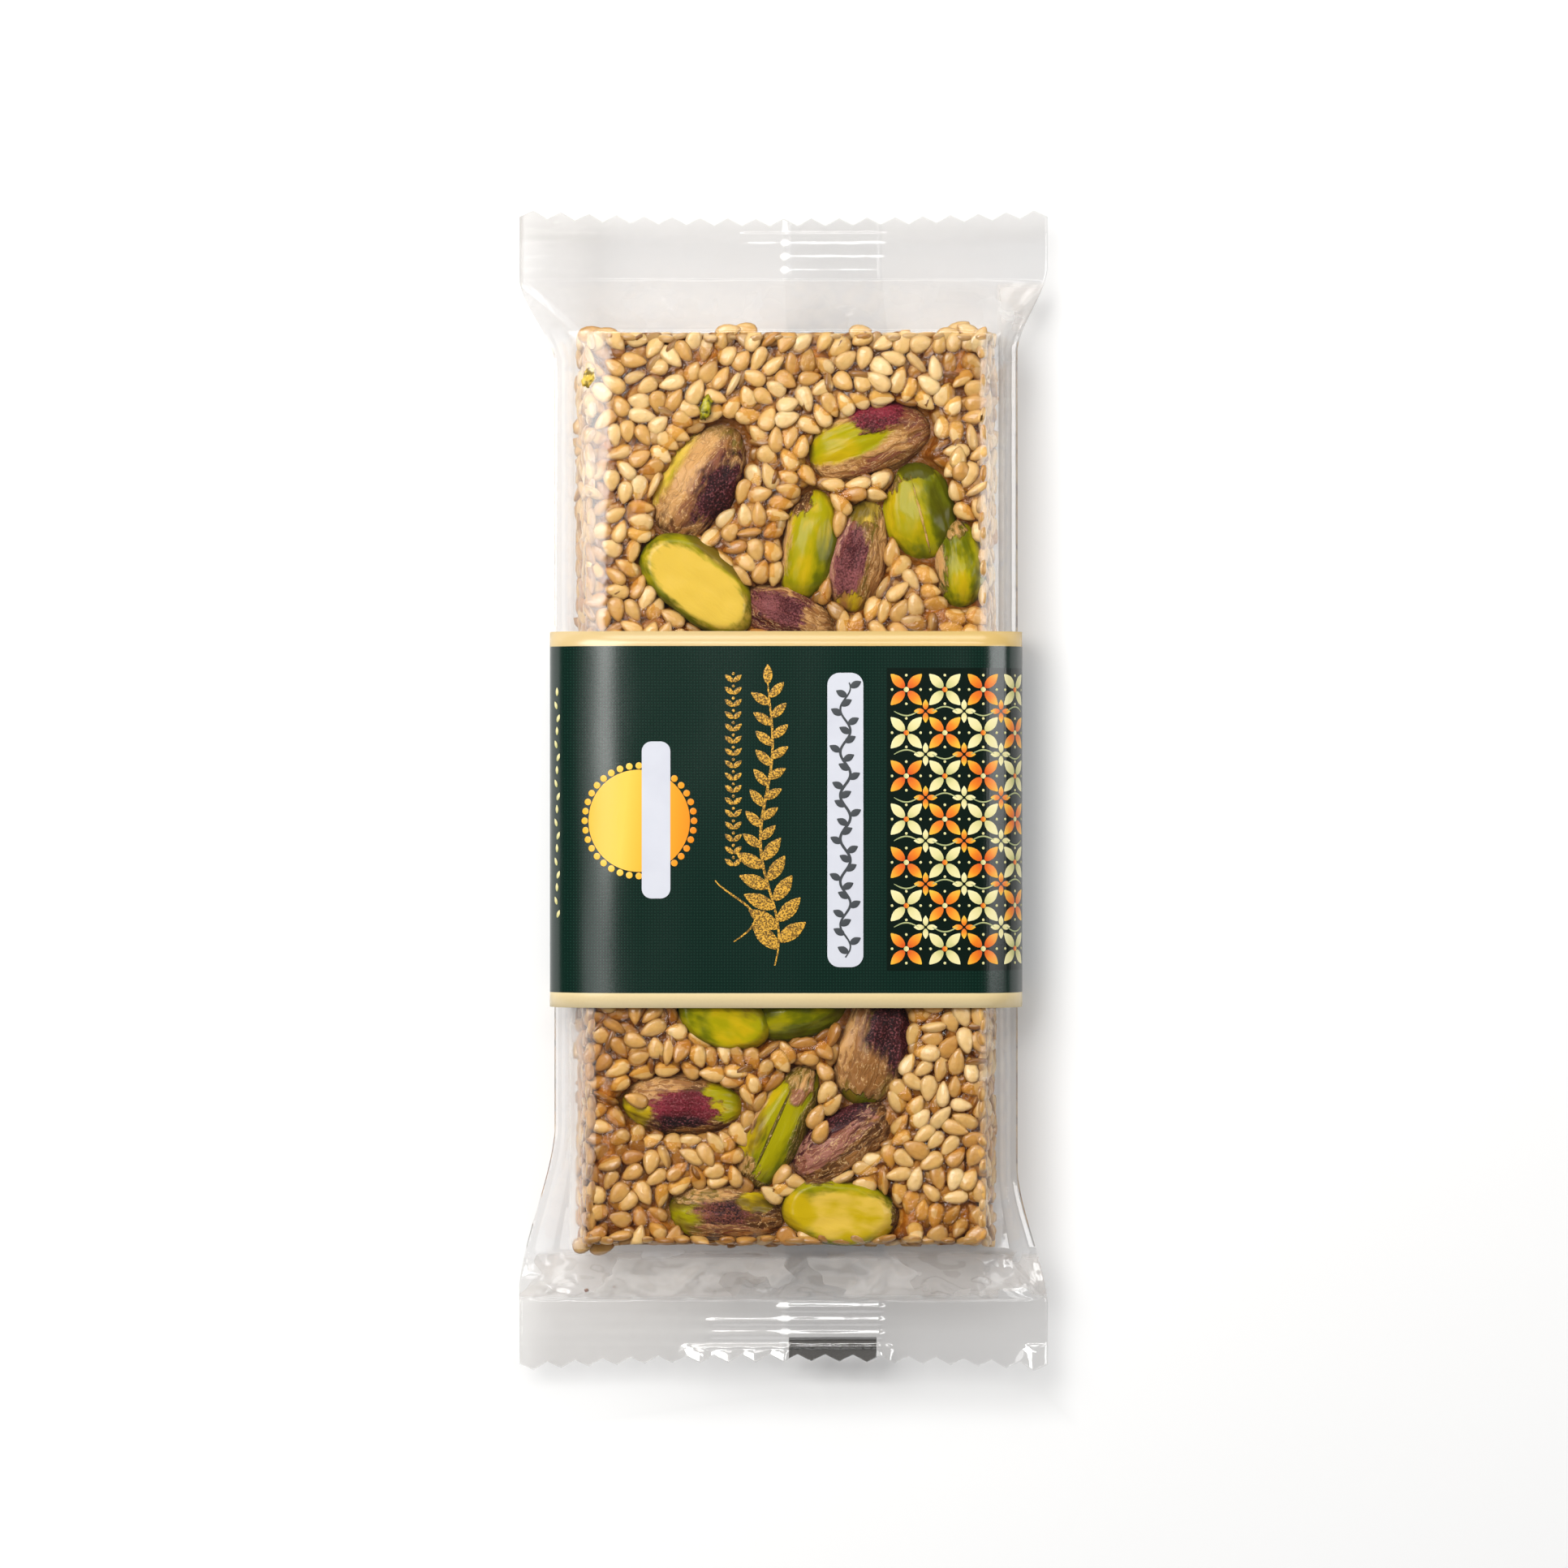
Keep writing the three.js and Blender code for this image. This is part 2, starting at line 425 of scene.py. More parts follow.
def finish(name, bm, material, smooth=True):
    """Makes a shape in millimetres into a piece in metres that rides with the pack."""
    bmesh.ops.scale(bm, vec=(MM, MM, MM), verts=bm.verts)
    mesh = bpy.data.meshes.new(name)
    bm.to_mesh(mesh)
    bm.free()
    mesh.polygons.foreach_set("use_smooth", [smooth] * len(mesh.polygons))
    mesh.materials.append(material)
    made = bpy.data.objects.new(name, mesh)
    scene.collection.objects.link(made)
    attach(made, "root")
    return made


def edge_fall(x):
    """How far the slab's top falls towards its left edge."""
    return BLADE_DRAG * ease(SLAB_TOP_MIDDLE.x - x, SLAB_TOP_HALF.x - BLADE_REACH, SLAB_TOP_HALF.x)


def caramel_point(point, depth, pool_rise, moat_depth):
    """Moves a point of a unit box to its place on the syrup, whose top is this far below the slab's."""
    across, up_along, height = point.x * 2, point.y * 2, point.z + 0.5
    half = SLAB_BASE_HALF.lerp(SLAB_TOP_HALF, height) - Vector((CARAMEL_INSET, CARAMEL_INSET))
    middle = SLAB_BASE_MIDDLE.lerp(SLAB_TOP_MIDDLE, height)
    x = middle.x + across * half.x
    y = middle.y + up_along * half.y
    top = SLAB_TOP - depth
    if height > 0.99:
        top += pool_rise * in_pool(x, y) + TOP_SWELL * noise.noise(Vector((x, y, 9.0)) * 0.3)
        top += TOP_RIPPLE * noise.noise(Vector((x, y, 4.0)) * 1.1) - edge_fall(x)
        nearest = min(kernel_share(kernel, x, y) for kernel in KERNELS.values())
        top -= moat_depth * (1 - ease(nearest, 1.0, 1.0 + MOAT_SHARE))
    wobble = WALL_WOBBLE * noise.noise(Vector((x, y, height * 9)) * 0.5)
    side = ease(max(abs(across), abs(up_along)), 0.97, 1.0)
    z = lerp(CARAMEL_BASE, top, height) - ROUNDED_RIM * side * height
    return Vector((x + wobble * side, y + wobble * side, z))


caramel_shape = block(90, 210, 8)
for vert in caramel_shape.verts:
    vert.co = caramel_point(vert.co, CARAMEL_DEPTH, POOL_RISE, MOAT_DEPTH)

syrup = Paint("set_syrup")
where = syrup.place()
pools = pool_mask(syrup, where)
grain = syrup.clouds(where, 1.6, 4)
amber = syrup.ramp(
    0.45 + 0.25 * pools + 0.5 * (grain - 0.5),
    (0.2, tint(82, 46, 12)),
    (0.8, tint(196, 130, 46)),
    (0.5, tint(140, 84, 26)),
)
caramel_material = syrup.surface(
    Base_Color=amber,
    Roughness=0.12 + 0.16 * grain,
    Normal=syrup.bump(grain, 0.3),
    Subsurface_Weight=0.1,
    Subsurface_Radius=(1.4 * MM, 0.7 * MM, 0.2 * MM),
    Subsurface_Scale=1.0,
)
finish("caramel", caramel_shape, caramel_material)

# Glaze: the same boiled sugar, which sets clear where it is thin. The seeds of the face lie in it to most
# of their depth, and it dips round each nut.
GLAZE_DEPTH = 0.4
GLAZE_RISE = 0.24
GLAZE_MOAT = 2.4
GLAZE_FLOOR = 3.6
glaze_shape = block(120, 280, 1)
for vert in glaze_shape.verts:
    on_top = vert.co.z > 0
    vert.co = caramel_point(Vector((*vert.co.xy, 0.5)), GLAZE_DEPTH, GLAZE_RISE, GLAZE_MOAT)
    vert.co.z = vert.co.z if on_top else SLAB_TOP - GLAZE_FLOOR
bmesh.ops.recalc_face_normals(glaze_shape, faces=glaze_shape.faces)

glaze = Paint("clear_syrup")
where = glaze.place()
honey = glaze.see_through((0.94, 0.82, 0.55, 1))
shine = 0.035 + 0.6 * glaze.glance() ** 5
ripples = glaze.bump(glaze.clouds(where, 1.3, 3), 0.35)
glaze_material = glaze.shiny(honey, shine, Roughness=0.12, Normal=ripples)
finish("glaze", glaze_shape, glaze_material)

# ---------------------------------------------------------------------------------------------------
# Sesame seeds: hulled and lightly toasted, flat drops about 3 mm long. They lie every way in the syrup,
# most of them flat against the face of the slab that they show in.

SEED_LENGTH = 3.36
SEED_WIDTH = 2.04
SEED_THICKNESS = 0.95
SEED_DISC_REACH = 0.69  # two discs stand for a seed while the seeds are spread out
SEED_DISC_RADIUS = 0.88
SEED_NUMBERS = ("end", "toast", "sunk", "rim")


def numbered(bm, *names):
    """Gives the points of a shape a number of each name, and returns the layers that hold them."""
    for name in names:
        bm.verts.layers.float.new(name)
    return [bm.verts.layers.float[name] for name in names]


seed_shape = bmesh.new()
bmesh.ops.create_uvsphere(seed_shape, u_segments=10, v_segments=7, radius=1)
end_layer, _, _, rim_layer = numbered(seed_shape, *SEED_NUMBERS)
for vert in seed_shape.verts:
    reach = vert.co.z
    taper = 1.04 - 0.3 * reach - 0.2 * max(reach, 0) ** 2
    vert[end_layer] = reach
    vert[rim_layer] = 1 - min(abs(vert.co.y) / 0.7, 1)
    vert.co = (
        reach * SEED_LENGTH / 2,
        vert.co.x * taper * SEED_WIDTH / 2,
        math.copysign(abs(vert.co.y) ** 0.8, vert.co.y) * (0.75 + 0.25 * taper) * SEED_THICKNESS / 2,
    )
bmesh.ops.recalc_face_normals(seed_shape, faces=seed_shape.faces)
seed_mesh = bpy.data.meshes.new("one_seed")
seed_shape.to_mesh(seed_mesh)
seed_shape.free()

chance = random.Random(41)

ROW_SCATTER = 0.45  # of the seeds' pitch, before they push each other apart
PUSH_ROUNDS = 30
PUSH_SHARE = 0.3  # of an overlap, which one push undoes
TWIST_SHARE = 0.5
FARTHEST_PUSH = 0.5
FARTHEST_TWIST = 0.4


def spread(width, height, per_mm2, blocked):
    """Places for seeds on a rectangle, each an x, a y and an angle, clear of the blocked discs."""
    pitch = 1 / math.sqrt(per_mm2)
    columns, rows = round(width / pitch), round(height / pitch)
    seeds = []
    for number in range(columns * rows):
        column, row = number % columns, number // columns
        x = (column + 0.5 + chance.uniform(-ROW_SCATTER, ROW_SCATTER)) * width / columns
        y = (row + 0.5 + chance.uniform(-ROW_SCATTER, ROW_SCATTER)) * height / rows
        if all((Vector((x, y)) - middle).length > radius * 0.95 for middle, radius in blocked):
            seeds.append([x, y, chance.uniform(0, 2 * math.pi)])
    cell = 2 * (SEED_DISC_REACH + SEED_DISC_RADIUS)
    for _ in range(PUSH_ROUNDS):
        discs = []
        for x, y, angle in seeds:
            step = pointing(angle) * SEED_DISC_REACH
            discs.append((Vector((x, y)) + step, Vector((x, y)) - step))
        cells = {}
        for number, (x, y, _angle) in enumerate(seeds):
            cells.setdefault((int(x / cell), int(y / cell)), []).append(number)
        moves = [[Vector((0, 0)), 0.0] for _ in seeds]
        for number, (x, y, angle) in enumerate(seeds):
            column, row = int(x / cell), int(y / cell)
            near = [n for i in (-1, 0, 1) for j in (-1, 0, 1) for n in cells.get((column + i, row + j), ())]
            others = [other for n in near if n != number for other in discs[n]]
            for end, disc in zip((1, -1), discs[number]):
                pushes = [(disc - other, 2 * SEED_DISC_RADIUS) for other in others]
                pushes += [(disc - middle, SEED_DISC_RADIUS + radius) for middle, radius in blocked]
                for away, room in pushes:
                    gap = away.length
                    if gap < room and gap > 1e-6:
                        push = away * (PUSH_SHARE * (room - gap) / gap)
                        moves[number][0] += push
                        arm = pointing(angle) * end * SEED_DISC_REACH
                        moves[number][1] += arm.cross(push) * TWIST_SHARE
        for seed, (push, twist) in zip(seeds, moves):
            seed[0] = clamp(seed[0] + clamp(push.x, -FARTHEST_PUSH, FARTHEST_PUSH), 0, width)
            seed[1] = clamp(seed[1] + clamp(push.y, -FARTHEST_PUSH, FARTHEST_PUSH), 0, height)
            seed[2] += clamp(twist, -FARTHEST_TWIST, FARTHEST_TWIST)
    return seeds


def toast():
    """How dark one seed is roasted, from 0, cream, to 1, golden brown. Most are near a third."""
    return clamp(chance.gauss(0.36, 0.2))


def add_seed(bm, place, angle, lean, roll, size, roast, sunk=0.2, facing=Matrix.Identity(4)):
    """Puts one seed into a shape. It is turned on a surface that faces up, then with that surface."""
    one = seed_mesh.copy()
    one.attributes["toast"].data.foreach_set("value", [roast] * len(one.vertices))
    one.attributes["sunk"].data.foreach_set("value", [sunk] * len(one.vertices))
    turn = Matrix.Rotation(angle, 4, "Z") @ Matrix.Rotation(lean, 4, "Y") @ Matrix.Rotation(roll, 4, "X")
    one.transform(Matrix.Translation(place) @ facing @ turn @ Matrix.Diagonal((*size, 1)))
    bm.from_mesh(one)
    bpy.data.meshes.remove(one)


def seed_size():
    return (chance.uniform(0.82, 1.08), chance.uniform(0.82, 1.12), chance.uniform(0.85, 1.15))


def near_kernel(x, y):
    """1 against a nut and 0 from a seed's length away."""
    gaps = [(kernel_share(kernel, x, y) - 1) * kernel["size"][1] / 2 for kernel in KERNELS.values()]
    return 1 - ease(min(gaps), 0.4, 3.2)


SEEDS_UNDER_BAND = 2.5  # how far the seeds go on beneath the band's edges


def under_band(y, margin=SEEDS_UNDER_BAND):
    return band_low.y + margin < y < band_high.y - margin


# Discs along each nut, which the seeds of the face keep clear of.
kernel_discs = []
for kernel in KERNELS.values():
    axis = along(kernel)
    half_length, half_width = (side / 2 for side in kernel["size"])
    for share in (-0.72, -0.4, 0, 0.4, 0.72):
        radius = half_width * math.sqrt(1 - share**2) * 0.98
        kernel_discs.append((Vector(kernel["at"]) + axis * share * half_length, radius))

FACE_SEEDS_PER_MM2 = 0.2
TOP_INSET = 0.6  # of the seeds' middles from the slab's edges
BASE_INSET = 0.7
UPPER_LAYER = 0.45  # depth of the seeds' middles below the face
LOWER_LAYER = 1.05
LAYER_SCATTER = 0.16
DEEPER_IN_POOL = 0.22
DEEPER_AT_NUT = 0.6
PALER_AT_NUT = 0.12


def face_seeds(bm, depth, blocked, roll_share, facing_up=True):
    """One layer of seeds over the slab's top or base, except where the paper band hides them."""
    inset = TOP_INSET if facing_up else BASE_INSET
    half = (SLAB_TOP_HALF if facing_up else SLAB_BASE_HALF) - Vector((inset, inset))
    middle = (SLAB_TOP_MIDDLE if facing_up else SLAB_BASE_MIDDLE).to_2d()
    near_part = (-half.y, band_low.y + SEEDS_UNDER_BAND - middle.y)
    far_part = (band_high.y - SEEDS_UNDER_BAND - middle.y, half.y)
    for low, high in (near_part, far_part):
        corner = Vector((-half.x, low)) + middle
        discs = [(centre - corner, radius) for centre, radius in blocked]
        for x, y, angle in spread(2 * half.x, high - low, FACE_SEEDS_PER_MM2, discs):
            x, y = x + corner.x, y + corner.y
            below = depth + chance.uniform(-LAYER_SCATTER, LAYER_SCATTER)
            if facing_up:
                below += DEEPER_IN_POOL * in_pool(x, y)
            sunk = ease(below, 0.45, 1.1)
            if facing_up:
                below += DEEPER_AT_NUT * near_kernel(x, y) + edge_fall(x)
            level = SLAB_TOP - below if facing_up else SLAB_BASE + below
            lean = chance.gauss(0, 0.13)
            roll = chance.uniform(0.7, 1.3) if chance.random() < roll_share else chance.gauss(0, 0.18)
            roast = toast() - PALER_AT_NUT * near_kernel(x, y) if facing_up else toast()
            add_seed(bm, (x, y, level), angle, lean, roll, seed_size(), roast, sunk)


def new_seeds():
    bm = bmesh.new()
    numbered(bm, *SEED_NUMBERS)
    return bm


seeds = Paint("toasted_sesame")
end, roast, sunk, rim = [seeds.trait(name) for name in SEED_NUMBERS]
where = seeds.place()
seed_x, seed_y, _ = seeds.parts(where)
# Painted light and shade: the seeds are painted darker over the near part of the slab, most on its left, and
# paler at the far end, as the light on the slab falls off from its far end.
far_end = seeds.fade(seed_y, 42.0, 54.0)
painted_shade_near_left = seeds.fade(seed_y, 44.0, 20.0) * seeds.fade(seed_x, 34.0, -6.0)
speckle = seeds.clouds(where, 1.1, 4)
browning = seeds.clouds(where, 0.09, 2)
skin_colour = seeds.ramp(
    roast + 0.25 * (speckle - 0.5) + 0.5 * (browning - 0.5) + 0.24 * painted_shade_near_left - 0.16 * far_end,
    (0.0, tint(246, 210, 148)),
    (1.0, tint(174, 110, 38)),
    (0.35, tint(230, 184, 108)),
    (0.7, tint(208, 152, 74)),
)
# The pools, the deeper seeds and each seed's rim are darkened towards syrup brown: partly syrup stain, and
# partly painted shade in the gaps where the seeds meet. The rims darken more over the near left, as painted
# shade.
specked = seeds.fade(speckle, 0.5, 0.8)
rim_shade = rim * (0.62 + 0.26 * painted_shade_near_left)
stain_and_shade = pool_mask(seeds, where) * 0.2 + sunk * 0.62 + specked * 0.12 + rim_shade
tip = seeds.fade(end, 0.6, 1.0) * 0.3
stained_and_shaded = seeds.mix(stain_and_shade, skin_colour, tint(134, 84, 24))
seed_material = seeds.surface(
    Base_Color=seeds.mix(tip, stained_and_shaded, tint(190, 130, 64)),
    Roughness=0.26 + 0.2 * speckle,
    Normal=seeds.bump(speckle, 0.12),
    Subsurface_Weight=0.2,
    Subsurface_Radius=(0.7 * MM, 0.45 * MM, 0.2 * MM),
    Subsurface_Scale=1.0,
    Coat_Weight=seeds.fade(speckle, 0.42, 0.56) * 0.6,
    Coat_Roughness=0.08,
)


ROLLED_RISE = 0.14  # how far the highest seeds, which the roller flattened, pass SLAB_TOP
BAND_PRESS = 1.3  # by which the band presses the slab's left edge down


def trim(bm):
    """Flattens the seeds on the rolled face, and cuts them off where the blade went, at the sides."""
    for vert in bm.verts:
        vert.co.z = min(vert.co.z, SLAB_TOP + ROLLED_RISE - edge_fall(vert.co.x))
        if under_band(vert.co.y, 0.0):
            vert.co.z = min(vert.co.z, SLAB_TOP - BAND_PRESS * ease(-vert.co.x, 19.5, 25.0))
        height = clamp((vert.co.z - SLAB_BASE) / SLAB_HEIGHT)
        ragged = max(0.1, 0.2 + 0.6 * noise.noise(Vector((vert.co.x, vert.co.y, 2.0)) * 0.2))
        half = SLAB_BASE_HALF.lerp(SLAB_TOP_HALF, height) + Vector((ragged, ragged))
        middle = SLAB_BASE_MIDDLE.lerp(SLAB_TOP_MIDDLE, height)
        vert.co.x = clamp(vert.co.x, middle.x - half.x, middle.x + half.x)
        vert.co.y = clamp(vert.co.y, middle.y - half.y, middle.y + half.y)


top_seed_shape = new_seeds()
face_seeds(top_seed_shape, LOWER_LAYER, kernel_discs, roll_share=0.2)
face_seeds(top_seed_shape, UPPER_LAYER, kernel_discs, roll_share=0.08)
trim(top_seed_shape)

# Stray seeds, on the nuts and beside them, and stuck to the syrup that ran out past the cut at the
# slab's corners and its far edge: the place of each, the way that it points and its height.
STRAYS = [
    ((4.6, -41.8), 62, 10.15), ((-18.05, -37.9), 160, 9.9), ((21.4, 40.8), 80, 9.9),
    ((21.7, 39.3), 95, 9.9), ((20.2, 55.9), 10, 9.4), ((22.6, 56.3), 150, 9.1),
    ((23.9, 55.3), 60, 9.6), ((21.4, 56.6), 30, 8.5), ((-23.6, 56.0), 15, 8.8),
    ((-21.8, 55.9), 170, 9.0), ((-24.6, -55.8), 20, 6.4), ((-22.4, -56.2), 5, 5.6),
    ((-6.8, 56.3), 12, 8.9), ((-4.6, 56.5), 165, 8.7), ((9.4, 56.2), 8, 8.9),
]
for (x, y), turn, height in STRAYS:
    lean = chance.gauss(0, 0.15)
    add_seed(top_seed_shape, (x, y, height), math.radians(turn), lean, 0.1, seed_size(), toast())
finish("top_seeds", top_seed_shape, seed_material)


PRESSED_BASE = 0.3


def press_flat(bm):
    """Flattens the seeds that stick out of the slab's base, as the board does that it is rolled out on."""
    for vert in bm.verts:
        vert.co.z = max(vert.co.z, PRESSED_BASE)


base_seed_shape = new_seeds()
face_seeds(base_seed_shape, UPPER_LAYER, [], roll_share=0.05, facing_up=False)
press_flat(base_seed_shape)
trim(base_seed_shape)
finish("base_seeds", base_seed_shape, seed_material)

WALL_SEEDS_PER_MM2 = 0.25
WALL_FOOT = 0.75  # the lowest seeds of a wall lie this far above the slab's base
WALL_MARGINS = 1.7
WALL_DEPTH = 0.45

side_seed_shape = new_seeds()
for turn in (0, 90, 180, 270):
    spin = Matrix.Rotation(math.radians(turn), 3, "Z")
    outwards = spin @ Vector((1, 0, 0))
    across = spin @ Vector((0, 1, 0))
    base_reach = abs(outwards.x) * SLAB_BASE_HALF.x + abs(outwards.y) * SLAB_BASE_HALF.y
    top_reach = abs(outwards.x) * SLAB_TOP_HALF.x + abs(outwards.y) * SLAB_TOP_HALF.y
    wall_half = abs(across.x) * SLAB_TOP_HALF.x + abs(across.y) * SLAB_TOP_HALF.y
    shift = outwards.dot(SLAB_TOP_MIDDLE - SLAB_BASE_MIDDLE)
    slope = math.atan2(base_reach - top_reach - shift, SLAB_HEIGHT)
    facing = spin.to_4x4() @ Matrix.Rotation(math.pi / 2 - slope, 4, "Y")
    for x, y, angle in spread(2 * wall_half, SLAB_HEIGHT - WALL_MARGINS, WALL_SEEDS_PER_MM2, []):
        height = (y + WALL_FOOT) / SLAB_HEIGHT
        reach = lerp(base_reach, top_reach, height) - WALL_DEPTH + chance.uniform(-0.12, 0.18)
        spot = SLAB_BASE_MIDDLE.lerp(SLAB_TOP_MIDDLE, height) + outwards * reach + across * (x - wall_half)
        spot.z = SLAB_BASE + height * SLAB_HEIGHT
        if abs(outwards.x) > 0.5 and under_band(spot.y):
            continue
        lean, roll = chance.gauss(0, 0.15), chance.gauss(0, 0.25)
        # Painted light: the seeds on the right-hand wall, which lies in shade, are painted paler.
        roast = toast() - 0.1 * ease(spot.x, 20.0, 25.0)
        add_seed(side_seed_shape, spot, angle, lean, roll, seed_size(), roast, facing=facing)
press_flat(side_seed_shape)
trim(side_seed_shape)
finish("side_seeds", side_seed_shape, seed_material)
bpy.data.meshes.remove(seed_mesh)

# ---------------------------------------------------------------------------------------------------
# Pistachio kernels: shelled whole, with their papery skin on in part. Each is pressed into the syrup to
# most of its depth. Some were split, and show the pale flat face inside. Patches of green flesh, brown
# skin and purple velvet make up each nut's colours.

KERNEL_TOP = SLAB_TOP + 0.12
KERNEL_HALF_DEPTH = 3.5
KERNEL_SWELL = 1.13  # a nut is wider lower down than the outline that shows above the seeds
SPLIT_DEEPER = 1.15  # a split nut is drawn deeper, so that it fills its place below the cut face
SPLIT_ROUNDING = 0.1
POLE = 0.999  # past this share of its half-length a nut is all but a point

LEMON = tint(202, 172, 14)
BUTTER = tint(228, 192, 76)
LIME = tint(170, 160, 4)
LEAF = tint(104, 108, 2)
MOSS = tint(84, 82, 4)
OLIVE = tint(122, 100, 24)
TAN = tint(160, 108, 56)
FAWN = tint(214, 162, 98)
UMBER = tint(88, 52, 22)
MAUVE = tint(138, 78, 56)
ROSE = tint(180, 120, 102)
HEATHER = tint(146, 82, 80)
WINE = tint(98, 22, 30)
PLUM = tint(70, 18, 22)
MAGENTA = tint(138, 38, 54)
INKY = tint(30, 5, 9)


def patch(kind, at, half, light, dark, tear=0.2, turn=0, soft=0.14):
    """Part of a nut's surface: flesh, skin or velvet. Its place is in shares of the nut's half sizes."""
    return dict(kind=kind, at=at, half=half, light=light, dark=dark, tear=tear, turn=turn, soft=soft)


